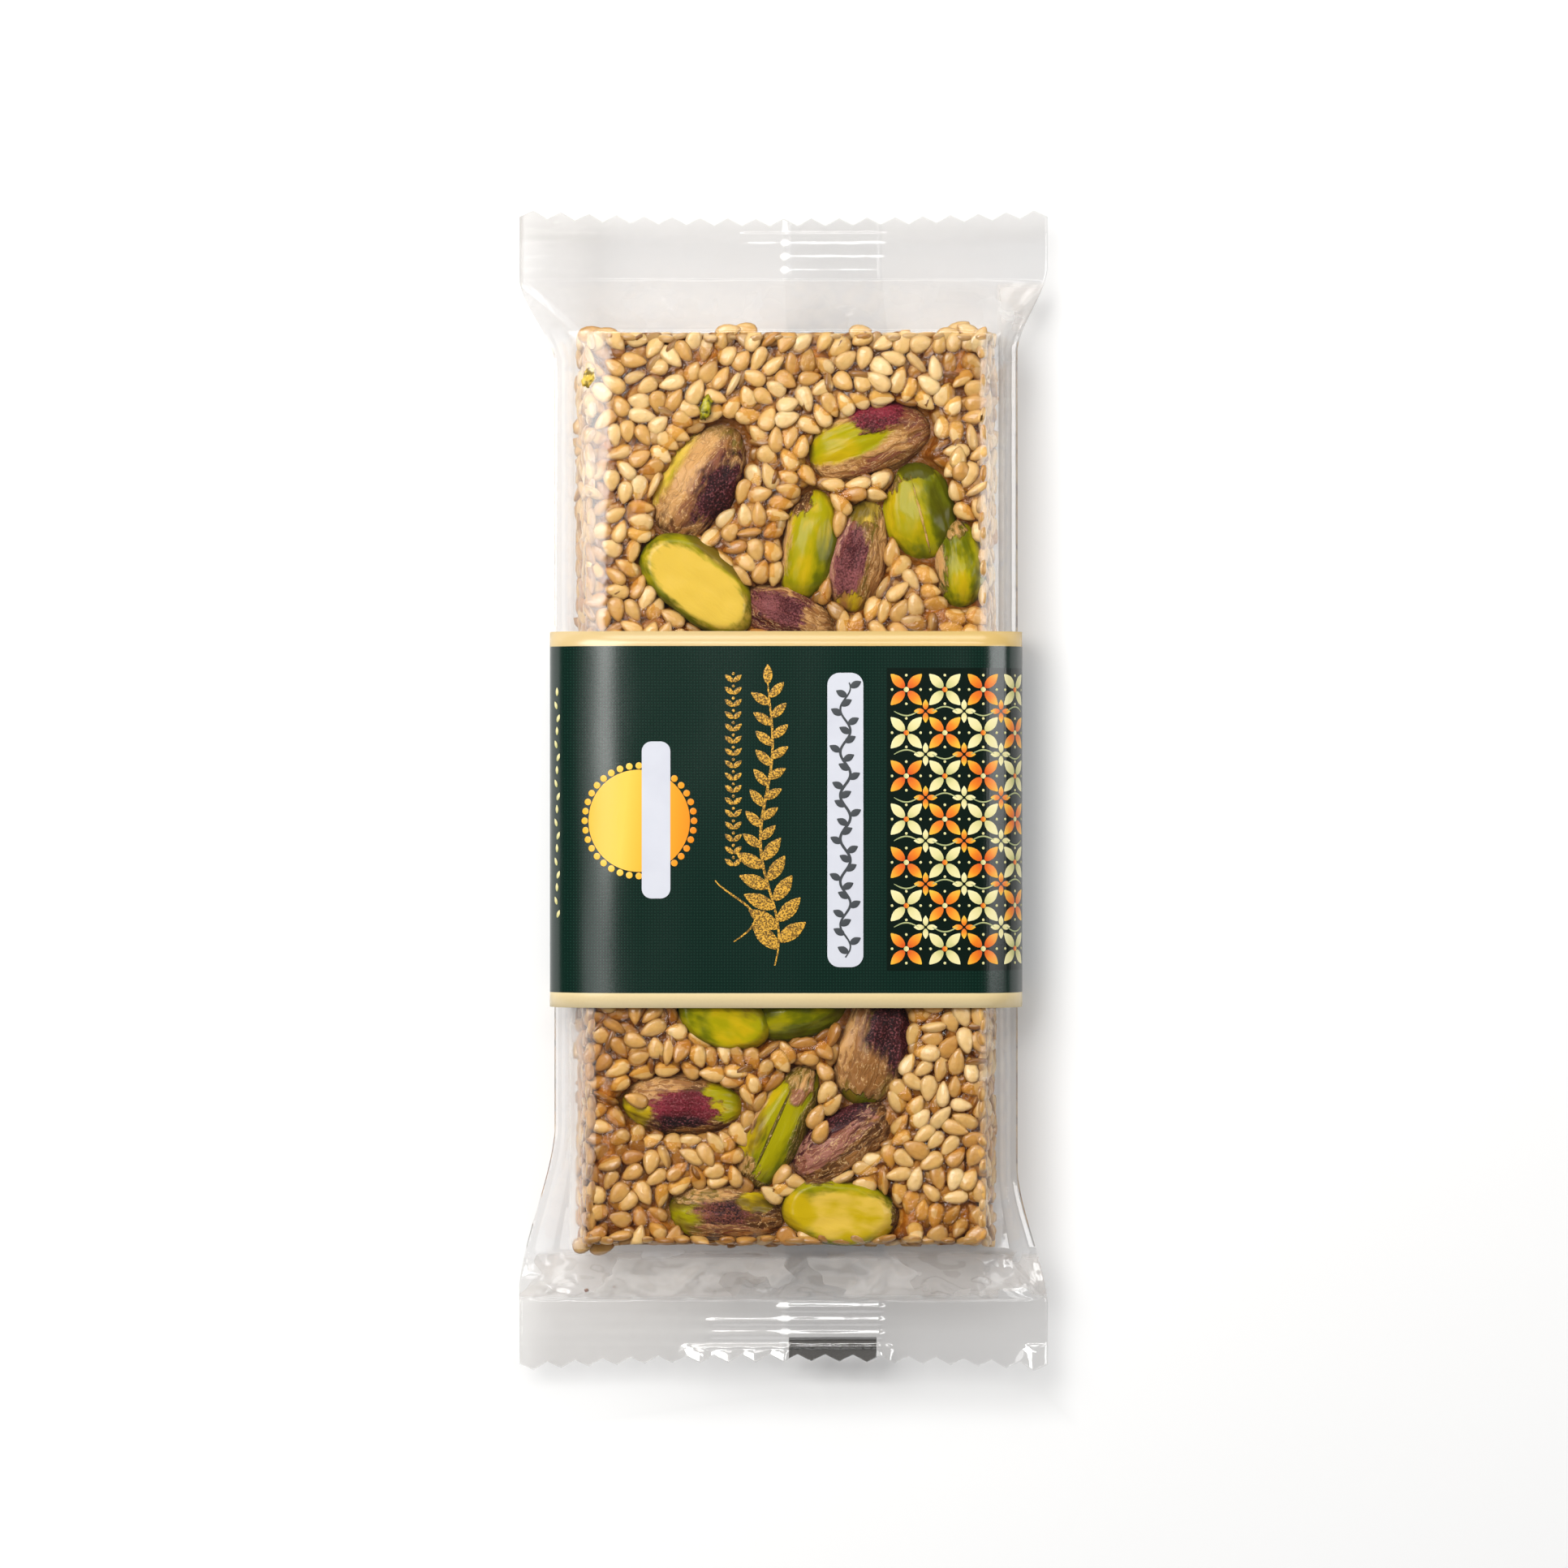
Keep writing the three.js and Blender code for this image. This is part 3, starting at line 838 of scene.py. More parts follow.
LOOKS = {
    "kernel_01": dict(ground=("skin", FAWN, TAN), patches=[
        patch("skin", (0.0, 0.55), (0.9, 0.4), FAWN, TAN, 0.3),
        patch("flesh", (0.0, 0.98), (0.95, 0.42), BUTTER, LIME, 0.3, soft=0.3),
        patch("skin", (0.85, 0.1), (0.3, 0.8), TAN, OLIVE, 0.4),
        patch("skin", (-0.75, 0.0), (0.35, 0.5), TAN, UMBER, 0.4),
        patch("skin", (0.1, 0.3), (0.8, 0.3), FAWN, FAWN, 0.3, soft=0.4),
        patch("skin", (0.0, -0.04), (0.8, 0.2), TAN, MAUVE, 0.3, soft=0.4),
        patch("velvet", (-0.02, -0.52), (0.6, 0.52), PLUM, INKY, 0.4, soft=0.3),
    ]),
    "kernel_02": dict(ground=("skin", FAWN, TAN), gloss=0.14, patches=[
        patch("flesh", (-0.38, 0.2), (0.76, 0.48), LEMON, LIME, 0.14),
        patch("skin", (0.3, -0.7), (0.8, 0.3), TAN, MAUVE, 0.4),
        patch("velvet", (0.34, 0.74), (0.56, 0.58), MAGENTA, PLUM, 0.25),
        patch("skin", (0.85, 0.1), (0.3, 0.6), TAN, MAUVE, 0.4),
    ]),
    "kernel_03": dict(ground=("flesh", LEMON, LIME), gloss=0.14, rugged=0.3, patches=[
        patch("flesh", (-0.5, -0.2), (0.6, 0.9), LIME, LEAF, 0.15, soft=0.5),
        patch("flesh", (-0.2, 0.1), (0.7, 0.4), LEMON, LIME, 0.15, soft=0.5),
        patch("flesh", (0.1, -1.0), (0.95, 0.36), LEAF, MOSS, 0.15, soft=0.3),
        patch("skin", (-0.2, 0.98), (0.8, 0.42), FAWN, FAWN, 0.35, soft=0.3),
        patch("skin", (0.8, 0.6), (0.34, 0.5), TAN, UMBER, 0.3),
    ]),
    "kernel_04": dict(ground=("skin", TAN, OLIVE), patches=[
        patch("skin", (0.0, 0.6), (0.8, 0.5), ROSE, MAUVE, 0.2),
        patch("velvet", (-0.14, 0.24), (0.66, 0.5), HEATHER, PLUM, 0.3),
        patch("flesh", (0.86, 0.3), (0.34, 0.7), BUTTER, OLIVE, 0.3),
        patch("flesh", (-0.9, -0.1), (0.24, 0.6), LEMON, TAN, 0.4),
        patch("skin", (0.1, -0.68), (0.85, 0.34), FAWN, TAN, 0.4),
    ]),
    "kernel_05": dict(ground=("flesh", LIME, LEAF), gloss=0.16, rugged=0.6, patches=[
        patch("flesh", (-0.2, -0.75), (0.9, 0.56), LEAF, MOSS, 0.12),
        patch("flesh", (0.1, 0.4), (0.75, 0.5), LEMON, LIME, 0.2, soft=0.4),
        patch("flesh", (0.9, -0.1), (0.28, 0.7), MOSS, MOSS, 0.3),
        patch("skin", (0.72, 0.72), (0.3, 0.35), TAN, OLIVE, 0.5),
        patch("skin", (-0.1, 0.02), (0.7, 0.03), FAWN, LIME, 0.3, turn=6),
    ]),
    "kernel_06": dict(ground=("flesh", LIME, LEAF), gloss=0.16, rugged=0.5, patches=[
        patch("flesh", (-0.3, 0.0), (0.5, 0.4), LEMON, LIME, 0.3, soft=0.4),
        patch("skin", (0.0, 0.85), (0.8, 0.4), FAWN, MOSS, 0.4),
        patch("skin", (0.85, 0.2), (0.3, 0.6), FAWN, OLIVE, 0.4),
    ]),
    "kernel_07": dict(ground=("flesh", LIME, LEAF), cut=0.5, patches=[
        patch("flesh", (0.1, -1.0), (1.0, 0.42), LEAF, MOSS, 0.12, soft=0.3),
        patch("flesh", (0.0, 1.0), (0.9, 0.24), OLIVE, LEAF, 0.2, soft=0.3),
        patch("flesh", (0.04, 0.03), (0.9, 0.72), BUTTER, BUTTER, 0.12, soft=0.12),
    ]),
    "kernel_08": dict(ground=("skin", MAUVE, PLUM), patches=[
        patch("skin", (-0.55, 0.5), (0.6, 0.5), FAWN, MAUVE, 0.4),
        patch("velvet", (-0.1, 0.1), (0.7, 0.5), HEATHER, PLUM, 0.4),
        patch("skin", (0.72, 0.1), (0.46, 0.8), FAWN, TAN, 0.4),
    ]),
    "kernel_09": dict(ground=("flesh", LIME, LEAF), cut=0.5, gloss=0.16, patches=[
        patch("flesh", (0.3, -0.1), (0.66, 0.7), LEMON, LIME, 0.1, soft=0.25),
        patch("flesh", (0.0, 0.6), (0.6, 0.4), LIME, OLIVE, 0.3, soft=0.4),
    ]),
    "kernel_10": dict(ground=("flesh", LEAF, MOSS), rugged=0.4, patches=[
        patch("flesh", (-0.1, -0.1), (0.7, 0.36), LIME, LEAF, 0.2, soft=0.3),
    ]),
    "kernel_11": dict(ground=("skin", FAWN, OLIVE), patches=[
        patch("skin", (0.2, 0.5), (0.9, 0.3), FAWN, TAN, 0.4),
        patch("velvet", (0.42, -0.42), (0.9, 0.64), PLUM, INKY, 0.2, soft=0.2),
        patch("skin", (-0.46, -0.1), (0.4, 0.46), TAN, TAN, 0.3, soft=0.3),
        patch("flesh", (-0.98, 0.1), (0.2, 0.8), LEAF, OLIVE, 0.4),
    ]),
    "kernel_12": dict(ground=("skin", TAN, UMBER), patches=[
        patch("flesh", (-0.8, -0.2), (0.34, 0.6), LEMON, OLIVE, 0.2),
        patch("skin", (-0.5, 0.4), (0.5, 0.4), FAWN, TAN, 0.3),
        patch("flesh", (0.68, 0.2), (0.4, 0.6), LEMON, LIME, 0.12),
        patch("velvet", (0.02, -0.12), (0.52, 0.56), MAGENTA, WINE, 0.3, turn=25),
        patch("velvet", (0.0, -0.62), (0.46, 0.36), INKY, INKY, 0.3, soft=0.4),
        patch("skin", (0.5, -0.85), (0.7, 0.3), TAN, UMBER, 0.3),
    ]),
    "kernel_13": dict(ground=("flesh", LIME, LEAF), gloss=0.16, rugged=0.6, patches=[
        patch("flesh", (-0.1, 0.8), (0.95, 0.5), LEMON, OLIVE, 0.3, soft=0.3),
        patch("skin", (0.2, 1.0), (0.7, 0.3), FAWN, UMBER, 0.4),
        patch("flesh", (0.3, 0.4), (0.4, 0.3), LEMON, LIME, 0.3, soft=0.3),
        patch("flesh", (0.1, -0.1), (0.7, 0.34), LIME, LIME, 0.2, soft=0.4),
        patch("skin", (0.3, -0.9), (0.9, 0.44), OLIVE, MOSS, 0.25),
        patch("skin", (0.64, -0.06), (0.3, 0.3), ROSE, TAN, 0.2),
        patch("skin", (-0.05, 0.16), (0.6, 0.05), MOSS, OLIVE, 0.12, turn=6),
        patch("skin", (-0.8, 0.5), (0.24, 0.5), FAWN, OLIVE, 0.4),
        patch("skin", (-0.96, 0.0), (0.14, 0.8), OLIVE, UMBER, 0.4),
        patch("skin", (0.8, 0.2), (0.24, 0.5), FAWN, OLIVE, 0.4),
    ]),
    "kernel_14": dict(ground=("skin", TAN, UMBER), patches=[
        patch("skin", (0.4, -0.5), (0.8, 0.5), TAN, UMBER, 0.15, soft=0.4),
        patch("skin", (-0.2, 0.35), (0.95, 0.62), ROSE, PLUM, 0.3),
        patch("skin", (-0.4, 0.0), (0.6, 0.3), ROSE, MAUVE, 0.5),
        patch("velvet", (0.3, 0.8), (0.7, 0.46), PLUM, INKY, 0.4),
    ]),
    "kernel_15": dict(ground=("skin", TAN, UMBER), patches=[
        patch("flesh", (-0.78, -0.1), (0.42, 0.9), LIME, OLIVE, 0.3, soft=0.3),
        patch("skin", (-0.5, 0.6), (0.6, 0.4), FAWN, OLIVE, 0.4),
        patch("velvet", (-0.05, 0.02), (0.46, 0.42), MAUVE, INKY, 0.4, soft=0.3),
        patch("flesh", (0.48, 0.45), (0.34, 0.3), LEMON, OLIVE, 0.2),
        patch("skin", (0.2, -0.5), (0.7, 0.16), FAWN, MAUVE, 0.4),
    ]),
    "kernel_16": dict(ground=("flesh", LIME, LEAF), cut=0.55, patches=[
        patch("flesh", (0.12, -0.1), (0.86, 0.74), LEMON, BUTTER, 0.12, soft=0.16),
        patch("flesh", (-0.74, -0.1), (0.3, 0.6), LEMON, LEMON, 0.1, soft=0.3),
        patch("skin", (-0.6, 0.98), (0.5, 0.22), UMBER, TAN, 0.3),
        patch("skin", (0.97, 0.2), (0.14, 0.7), UMBER, OLIVE, 0.3),
    ]),
}


def kernel_shape(number, kernel, look):
    """One nut, from a ball whose poles are its two ends. Each has wrinkles and lumps of its own."""
    bm = bmesh.new()
    bmesh.ops.create_uvsphere(bm, u_segments=96, v_segments=72, radius=1)
    grain = bm.verts.layers.float_vector.new("grain")
    length, width = kernel["size"]
    axis = along(kernel).to_3d()
    aside = Vector((-axis.y, axis.x, 0))
    bend = 0.05 * math.sin(number * 2.3)
    cut_share = look.get("cut")
    rugged = look.get("rugged", 0.3 if cut_share else 1.0)
    for vert in bm.verts:
        u, v, w = vert.co.z, vert.co.x, vert.co.y
        at_pole = abs(u) >= POLE
        fullness = 1 if at_pole else (1 - abs(u) ** 2.3) ** 0.5 / max((1 - u * u) ** 0.5, 1e-4)
        round_about = Vector((1, 0)) if at_pole else Vector((v, w)).normalized()
        ridges = noise.noise(Vector((u * 1.2, round_about.x * 2.6, round_about.y * 2.6 + number)))
        creases = abs(noise.noise(Vector((u * 1.6 + number, round_about.x * 5.5, round_about.y * 5.5))))
        wrinkles = abs(noise.noise(Vector((u * 3.4 + number, round_about.x * 15, round_about.y * 15))))
        lumps = noise.noise(Vector((u * 1.7, v * 1.4 + number, w * 1.4)))
        out = 1 + rugged * (0.1 * ridges - 0.1 * creases - 0.02 * wrinkles) + 0.1 * lumps
        out *= fullness * (1 - 0.09 * u)
        v, w = v * out, w * out
        v += bend * (1 - u * u) * 2
        if cut_share and w > cut_share:
            dents = 0.03 * noise.noise(Vector((u * 3, v * 3, number)))
            w = cut_share + dents + SPLIT_ROUNDING * math.tanh((w - cut_share) / SPLIT_ROUNDING)
        vert[grain] = (u, v, w)
        depth = KERNEL_HALF_DEPTH * (SPLIT_DEEPER if cut_share else 1.0)
        vert.co = axis * (u * length / 2 * (KERNEL_SWELL - 0.07)) + aside * (v * width / 2 * KERNEL_SWELL)
        vert.co += Vector((*kernel["at"], w * depth))
    top = max(vert.co.z for vert in bm.verts)
    bmesh.ops.translate(bm, vec=(0, 0, KERNEL_TOP - top), verts=bm.verts)
    bmesh.ops.recalc_face_normals(bm, faces=bm.faces)
    return bm


def kernel_paint(name, look):
    """A nut's material: its ground with the patches over it, in the order in which they are listed."""
    paint = Paint(name + "_skin_and_flesh")
    grain = paint.trait("grain", "Vector")
    u, v, w = paint.parts(grain)
    broad = paint.clouds(grain, 1.7, 2)
    ragged = paint.clouds(paint.stretch(grain, (2.4, 3.6, 3.6)), 1.8, 5) - 0.5
    streaks = paint.clouds(paint.stretch(paint.warped(grain, 2.2, 0.5), (1.1, 4.6, 4.6)), 1.7, 5)
    specks = paint.clouds(paint.stretch(grain, (11.0, 6.0, 6.0)), 2.6, 3)
    painted_sparkle = paint.clouds(paint.stretch(grain, (8.0, 5.0, 5.0)), 3.6, 2)
    looks = {
        "flesh": paint.fade(broad + 0.2 * (streaks - 0.5), 0.36, 0.64),
        "skin": paint.fade(0.6 * streaks + 0.4 * broad, 0.38, 0.6),
        "velvet": paint.fade(0.45 * specks + 0.55 * broad, 0.38, 0.6),
    }
    kind, light, dark = look["ground"]
    colour = paint.mix(looks[kind], dark, light)
    skin = 1.0 if kind == "skin" else 0.0
    velvet = 0.0
    for part in look["patches"]:
        turn = math.radians(part["turn"])
        off_u, off_v = u - part["at"][0], v - part["at"][1]
        turned_u = off_u * math.cos(turn) + off_v * math.sin(turn)
        turned_v = off_v * math.cos(turn) - off_u * math.sin(turn)
        reach = ((turned_u / part["half"][0]) ** 2 + (turned_v / part["half"][1]) ** 2) ** 0.5
        mask = 1 - paint.fade(reach + ragged * (part["tear"] * 4), 1 - part["soft"], 1 + part["soft"])
        colour = paint.mix(mask, colour, paint.mix(looks[part["kind"]], part["dark"], part["light"]))
        skin = skin * (1 - mask) + (mask if part["kind"] == "skin" else 0.0)
        velvet = velvet * (1 - mask) + (mask if part["kind"] == "velvet" else 0.0)
    # Painted shade: dark lines along the skin's furrows.
    furrow_shade = 1 - paint.fade(abs(streaks - 0.44), 0.0, 0.025)
    colour = paint.mix(furrow_shade * skin * 0.4, colour, tint(58, 34, 20))
    # Painted highlights: pale glints along the edges of the skin's wrinkles.
    painted_glints = (1 - paint.fade(abs(streaks - 0.52), 0.0, 0.034)) * paint.fade(specks, 0.42, 0.58)
    colour = paint.mix(painted_glints * skin * 0.7, colour, tint(236, 196, 138))
    # Painted highlights: pale pink sparkles on the velvet.
    colour = paint.mix(paint.fade(painted_sparkle, 0.5, 0.7) * velvet * 0.4, colour, tint(186, 104, 108))
    # Painted shade: each nut is darkened low down on its sides, where it meets the syrup and the seeds.
    deep = paint.fade(w, 0.6, 0.0) * 0.6
    colour = paint.mix(deep, colour, tint(48, 28, 12))
    relief = streaks * (skin * 0.8 + 0.1) + specks * velvet * 0.5
    return paint.surface(
        Base_Color=colour,
        Roughness=0.22 + 0.16 * skin + 0.2 * velvet,
        Normal=paint.bump(relief, 0.5),
        Coat_Weight=0.04 + 0.1 * skin,
        Coat_Roughness=0.08,
        Specular_IOR_Level=look.get("gloss", 0.2),
        Subsurface_Weight=0.12,
        Subsurface_Radius=(1.2 * MM, 1.0 * MM, 0.3 * MM),
        Subsurface_Scale=1.0,
    )


for number, (name, kernel) in enumerate(KERNELS.items()):
    shape = kernel_shape(number, kernel, LOOKS[name])
    finish(name, shape, kernel_paint(name, LOOKS[name]))

# Chips: two slivers of kernel that broke off and set among the seeds, and two crumbs that fell into the
# near end of the wrap before it was sealed.
CHIPS = [
    dict(at=(-9.5, 46.9, 10.1), size=(2.9, 1.3), turn=75, light=LIME, dark=MOSS),
    dict(at=(-23.8, 50.6, 9.7), size=(2.4, 1.5), turn=70, light=BUTTER, dark=OLIVE),
    dict(at=(-24.3, -61.6, 4.6), size=(0.5, 0.4), turn=20, light=TAN, dark=MAUVE),
    dict(at=(-20.9, -61.2, 4.6), size=(0.3, 0.24), turn=0, light=TAN, dark=MAUVE),
]
for number, chip in enumerate(CHIPS):
    chip_shape = bmesh.new()
    bmesh.ops.create_icosphere(chip_shape, subdivisions=3, radius=0.5)
    length, width = chip["size"]
    for vert in chip_shape.verts:
        ragged = 1 + 0.5 * noise.noise(vert.co * 4 + Vector((number, 0, 0)))
        vert.co = Vector((vert.co.x * length, vert.co.y * width, vert.co.z * width * 0.6)) * ragged
    spin = Matrix.Rotation(math.radians(chip["turn"]), 3, "Z")
    bmesh.ops.rotate(chip_shape, matrix=spin, verts=chip_shape.verts)
    bmesh.ops.translate(chip_shape, vec=chip["at"], verts=chip_shape.verts)
    paint = Paint(f"chip_{number + 1}_flesh")
    mottle = paint.clouds(paint.place(), 1.4, 3)
    chip_material = paint.surface(
        Base_Color=paint.mix(paint.fade(mottle, 0.4, 0.6), chip["dark"], chip["light"]),
        Roughness=0.4,
        Normal=paint.bump(mottle, 0.15),
    )
    finish(f"chip_{number + 1}", chip_shape, chip_material)

# ---------------------------------------------------------------------------------------------------
# Flow-wrap: clear film formed into a tube round the bar. It lies flat on the slab, is pressed to a crease
# along each side, and closes down to a crimped seal with a toothed cut edge at each end.

FILM_FLAT_HALF = wrap_high.x
PACK_HALF_LENGTH = wrap_high.y
FILM_TOP = wrap_high.z - 0.06
FILM_BASE = 0.24
FILM_UNDER_BAND = 0.62
CREASE_HEIGHT = 5.2
BODY_SHIFT = 0.3
SLAB_END = 56.4
SEAL_START = 62.9
CRIMP_PITCH = 1.65
CRIMPS = 3
CRIMP_RISE = 0.3
TEETH = 19
TOOTH_DEPTH = 0.9
EDGE_HOLLOW = {"front": 1.3, "back": 1.2}
SEAL_HEIGHT = 4.9
SEAL_DROOP = {"front": 0.9, "back": 0.1}
SEAL_HUMP = 0.7
FILM_GAP = 0.05  # half of the space between the two layers of a seal
FILM_COLUMNS = 2 * TEETH * 4
BAND_STEP = 1.6  # the film steps over the band's edges within this length
SEAM_LEFT = 0.15
SEAM_RIGHT = 12.1
SEAM_RISE = {"front": 0.25, "back": 0.1}  # by which the folded back seam lifts the seals

# Where the film leaves its pressed width, and where it reaches the width of the seal.
FLARE = {
    "front": {"left": (42.0, 61.0), "right": (47.0, 63.2)},
    "back": {"left": (53.0, 62.6), "right": (54.4, 64.2)},
}

# The film's section beside the slab: from the slab's edge over a rounded shoulder, then down to the pressed
# crease. Each point is a distance out and a height above the crease as a share of the flat face's.
LEFT_SHOULDER = [(19.6, 1.0), (22.0, 1.0), (24.4, 0.94), (26.0, 0.77)]
RIGHT_SHOULDER = [(21.8, 1.0), (23.4, 1.0), (24.0, 0.965), (26.0, 0.77)]
SKIRT = [(26.0, 0.77), (26.9, 0.71), (26.6, 0.02), (28.5, 0.0)]
FLAT_SHARE = 0.64
SHOULDER_SHARE = 0.86

# Sharp folds that run out from the slab's corners and ends: start, end, height and half-width.
FOLDS = [
    ((-25.0, 54.3), (-31.8, 62.0), 0.7, 0.9),
    ((25.6, 54.8), (32.2, 63.0), 0.7, 0.9),
    ((27.6, -56.2), (32.5, -63.8), 0.9, 1.0),
    ((-26.2, -57.6), (-32.0, -64.5), 0.5, 1.4),
    ((-25.0, -51.0), (-31.0, -51.7), 0.4, 0.8),
    ((-9.0, -57.4), (-14.5, -63.0), 0.55, 1.3),
    ((2.5, -57.4), (-3.5, -63.0), 0.6, 1.2),
    ((13.5, -57.0), (9.5, -63.0), 0.6, 1.2),
    ((17.0, -57.4), (24.5, -63.0), 0.5, 1.6),
    ((-20.0, -58.0), (-23.0, -63.0), 0.4, 1.2),
    ((-12.0, 57.6), (-15.5, 62.4), 0.2, 1.0),
    ((7.0, 57.6), (10.0, 62.0), 0.25, 1.0),
    ((18.0, 57.4), (19.5, 62.4), 0.2, 1.0),
]


def bezier(points, share):
    a, b, c, d = (Vector(point) for point in points)
    rest = 1 - share
    return a * rest**3 + b * 3 * rest * rest * share + c * 3 * rest * share * share + d * share**3


def film_side(share, shoulder):
    """Half of the film's section, for the side with this shoulder."""
    if share <= FLAT_SHARE:
        return share / FLAT_SHARE * shoulder[0][0], 1.0
    if share <= SHOULDER_SHARE:
        return bezier(shoulder, (share - FLAT_SHARE) / (SHOULDER_SHARE - FLAT_SHARE))
    return bezier(SKIRT, (share - SHOULDER_SHARE) / (1 - SHOULDER_SHARE))


def film_places():
    """Distances along the pack of the film's rows, closest together where it is crimped or creased."""
    def steps(first, last, count):
        return [lerp(first, last, k / count) for k in range(count)]

    front, back = -band_low.y, band_high.y
    front_step, back_step = front + BAND_STEP, back + BAND_STEP
    front_flare, back_flare = FLARE["front"]["left"][0], FLARE["back"]["left"][0]
    tent = SLAB_END - 0.6
    places = steps(PACK_HALF_LENGTH, SEAL_START, 36) + steps(SEAL_START, tent, 26)
    places += steps(tent, front_flare, 18) + steps(front_flare, front_step, 12) + steps(front_step, front, 3)
    places = [-y for y in places]
    places += steps(-front, back, 8) + steps(back, back_step, 3)
    places += steps(back_step, back_flare, 22) + steps(back_flare, SEAL_START, 34)
    return places + steps(SEAL_START, PACK_HALF_LENGTH, 36) + [PACK_HALF_LENGTH]


def end_of(y):
    return "front" if y < 0 else "back"


def fold_height(x, y):
    """Height that the sharp folds add at a place."""
    height = 0.0
    for start, stop, rise, half_width in FOLDS:
        start, stop = Vector(start), Vector(stop)
        run = stop - start
        share = clamp((Vector((x, y)) - start).dot(run) / run.length_squared)
        away = (Vector((x, y)) - start - run * share).length
        fade = math.sin(math.pi * clamp(share, 0.08, 0.92)) ** 0.5
        height += rise * fade * max(0.0, 1 - away / half_width)
    return height


def tooth(across):
    """0 at the tips of the teeth of a cut edge and 1 at their roots."""
    return abs((across * TEETH / 2 + 0.5) % 1 * 2 - 1)


def curled(x):
    """Where the cut edge curls at each tooth: left of the mark and at the right-hand corner."""
    beside_mark = ease(x, -13, -12) * (1 - ease(x, 0, 1))
    past_mark = ease(x, 11.5, 12) * (1 - ease(x, 13, 14))
    return beside_mark + 0.7 * past_mark + 0.8 * ease(x, 28, 30.5)


def crimp_strength(x, out, end):
    """How deep the crimps are. They are deepest where the back seam runs through the seal."""
    over_seam = ease(x, -1.5, 0) * (1 - ease(x, 11.5, 13.5))
    if end == "back":
        return 0.04 + 0.2 * over_seam + 0.22 * ease(x, -6, -4) * (1 - ease(x, -1.5, 0)) * ease(out, 3.4, 3.6)
    beside_seam = ease(x, -10.5, -8.5) * (1 - ease(x, -1.5, 0)) * ease(out, 1.7, 2.4)
    return 0.16 + 0.84 * over_seam + 0.8 * beside_seam


def past(x, edge):
    """0 left of an edge and 1 right of it, with a short ramp between them."""
    return ease(x, edge - 0.3, edge + 0.3)


def seal_level(x, y):
    """Height of the middle of an end seal, between its two layers of film."""
    out, end = abs(y) - SEAL_START, end_of(y)
    crimped = 0.0
    if 0 < out < (CRIMPS + 0.5) * CRIMP_PITCH:
        crimped = CRIMP_RISE * crimp_strength(x, out, end) * math.sin(math.pi * out / CRIMP_PITCH) ** 2
    seam = SEAM_RISE[end] * (past(x, SEAM_LEFT) - past(x, SEAM_RIGHT))
    fall = SEAL_DROOP[end] * (max(out, 0) / (PACK_HALF_LENGTH - SEAL_START)) ** 1.5
    wave = 0.16 * noise.noise(Vector((x * 0.12, y * 0.25, 3))) if end == "front" else 0.0
    curl = 0.0
    past_crimps = max(out - CRIMPS * CRIMP_PITCH - 0.2, 0)
    if end == "front" and past_crimps:
        lifted_tips = 0.45 * ease(past_crimps, 0, 1.2) * (1 - tooth(x / FILM_FLAT_HALF))
        curl = curled(x) * (0.46 * past_crimps + lifted_tips)
    hump = SEAL_HUMP * (1 - (x / FILM_FLAT_HALF) ** 2)
    return SEAL_HEIGHT + crimped + seam - fall + wave + curl + hump


def facets(x, y, scale, seed):
    """Crumpled film: sharp ridges with flat faces between them, from 0 to about 1."""
    distances, _ = noise.voronoi(Vector((x * scale, y * scale, seed)), distance_metric="MANHATTAN")
    return min(distances[0], 1.2)


def film_surface(across, y, upper):
    """A place on the film. Across runs from -1 to 1 between the side creases."""
    end = end_of(y)
    flares = []
    for side in ("left", "right"):
        first, last = FLARE[end][side]
        share = clamp((abs(y) - first) / (last - first))
        flares.append(lerp(share, ease(share, 0, 1), 0.6))
    flare = lerp(*flares, ease(across, -0.6, 0.6))
    closing = clamp((abs(y) - SLAB_END) / (SEAL_START - SLAB_END))
    out, height = film_side(abs(across), RIGHT_SHOULDER if across > 0 else LEFT_SHOULDER)
    x = lerp(math.copysign(out, across) + BODY_SHIFT, across * FILM_FLAT_HALF, flare)

    band_middle = (band_low.y + band_high.y) / 2
    waist = 1 - ease(abs(y - band_middle) - (band_high.y - band_low.y) / 2, 0.3, 1.5)
    face = FILM_TOP if upper else lerp(FILM_BASE, FILM_UNDER_BAND, waist)
    open_level = lerp(CREASE_HEIGHT, face, height)
    side = 1 if upper else -1
    z = lerp(open_level, seal_level(x, y) + side * FILM_GAP, closing**0.85)

    loose = math.sin(math.pi * closing) ** 0.6
    crumple = 0.6 * facets(x, y * 1.2, 0.13, 3.0 if upper else 8.0)
    crumple += 0.3 * facets(x + 0.4 * y, y, 0.3, 5.0 if upper else 1.0)
    looseness = {"front": 1.5, "back": 0.3}[end]
    side_room = ease(1 - height, 0.2, 0.6) * (1 - abs(across)) * 4 * (1 - closing)
    z += side * (crumple - 0.45) * (looseness * loose + 0.2 * side_room)
    if upper:
        z += fold_height(x, y) * max(loose, 0.3 * (1 - closing), 0.35)
    return Vector((x, y, max(z, FILM_BASE)))


def cut_edge(across, end):
    """How far out the toothed edge is."""
    uneven = 0.22 * noise.noise(Vector((across * 14, 0 if end == "front" else 5, 1)))
    teeth = TOOTH_DEPTH * tooth(across) * (1 + uneven)
    return PACK_HALF_LENGTH - EDGE_HOLLOW[end] * (1 - across**2) - teeth + 0.4 * uneven


def to_cut_edge(across, y):
    """Stretches the last few rows so that they end on the toothed edge."""
    crimps_end = SEAL_START + CRIMPS * CRIMP_PITCH
    share = (abs(y) - crimps_end) / (PACK_HALF_LENGTH - crimps_end)
    return y if share <= 0 else math.copysign(lerp(crimps_end, cut_edge(across, end_of(y)), share), y)


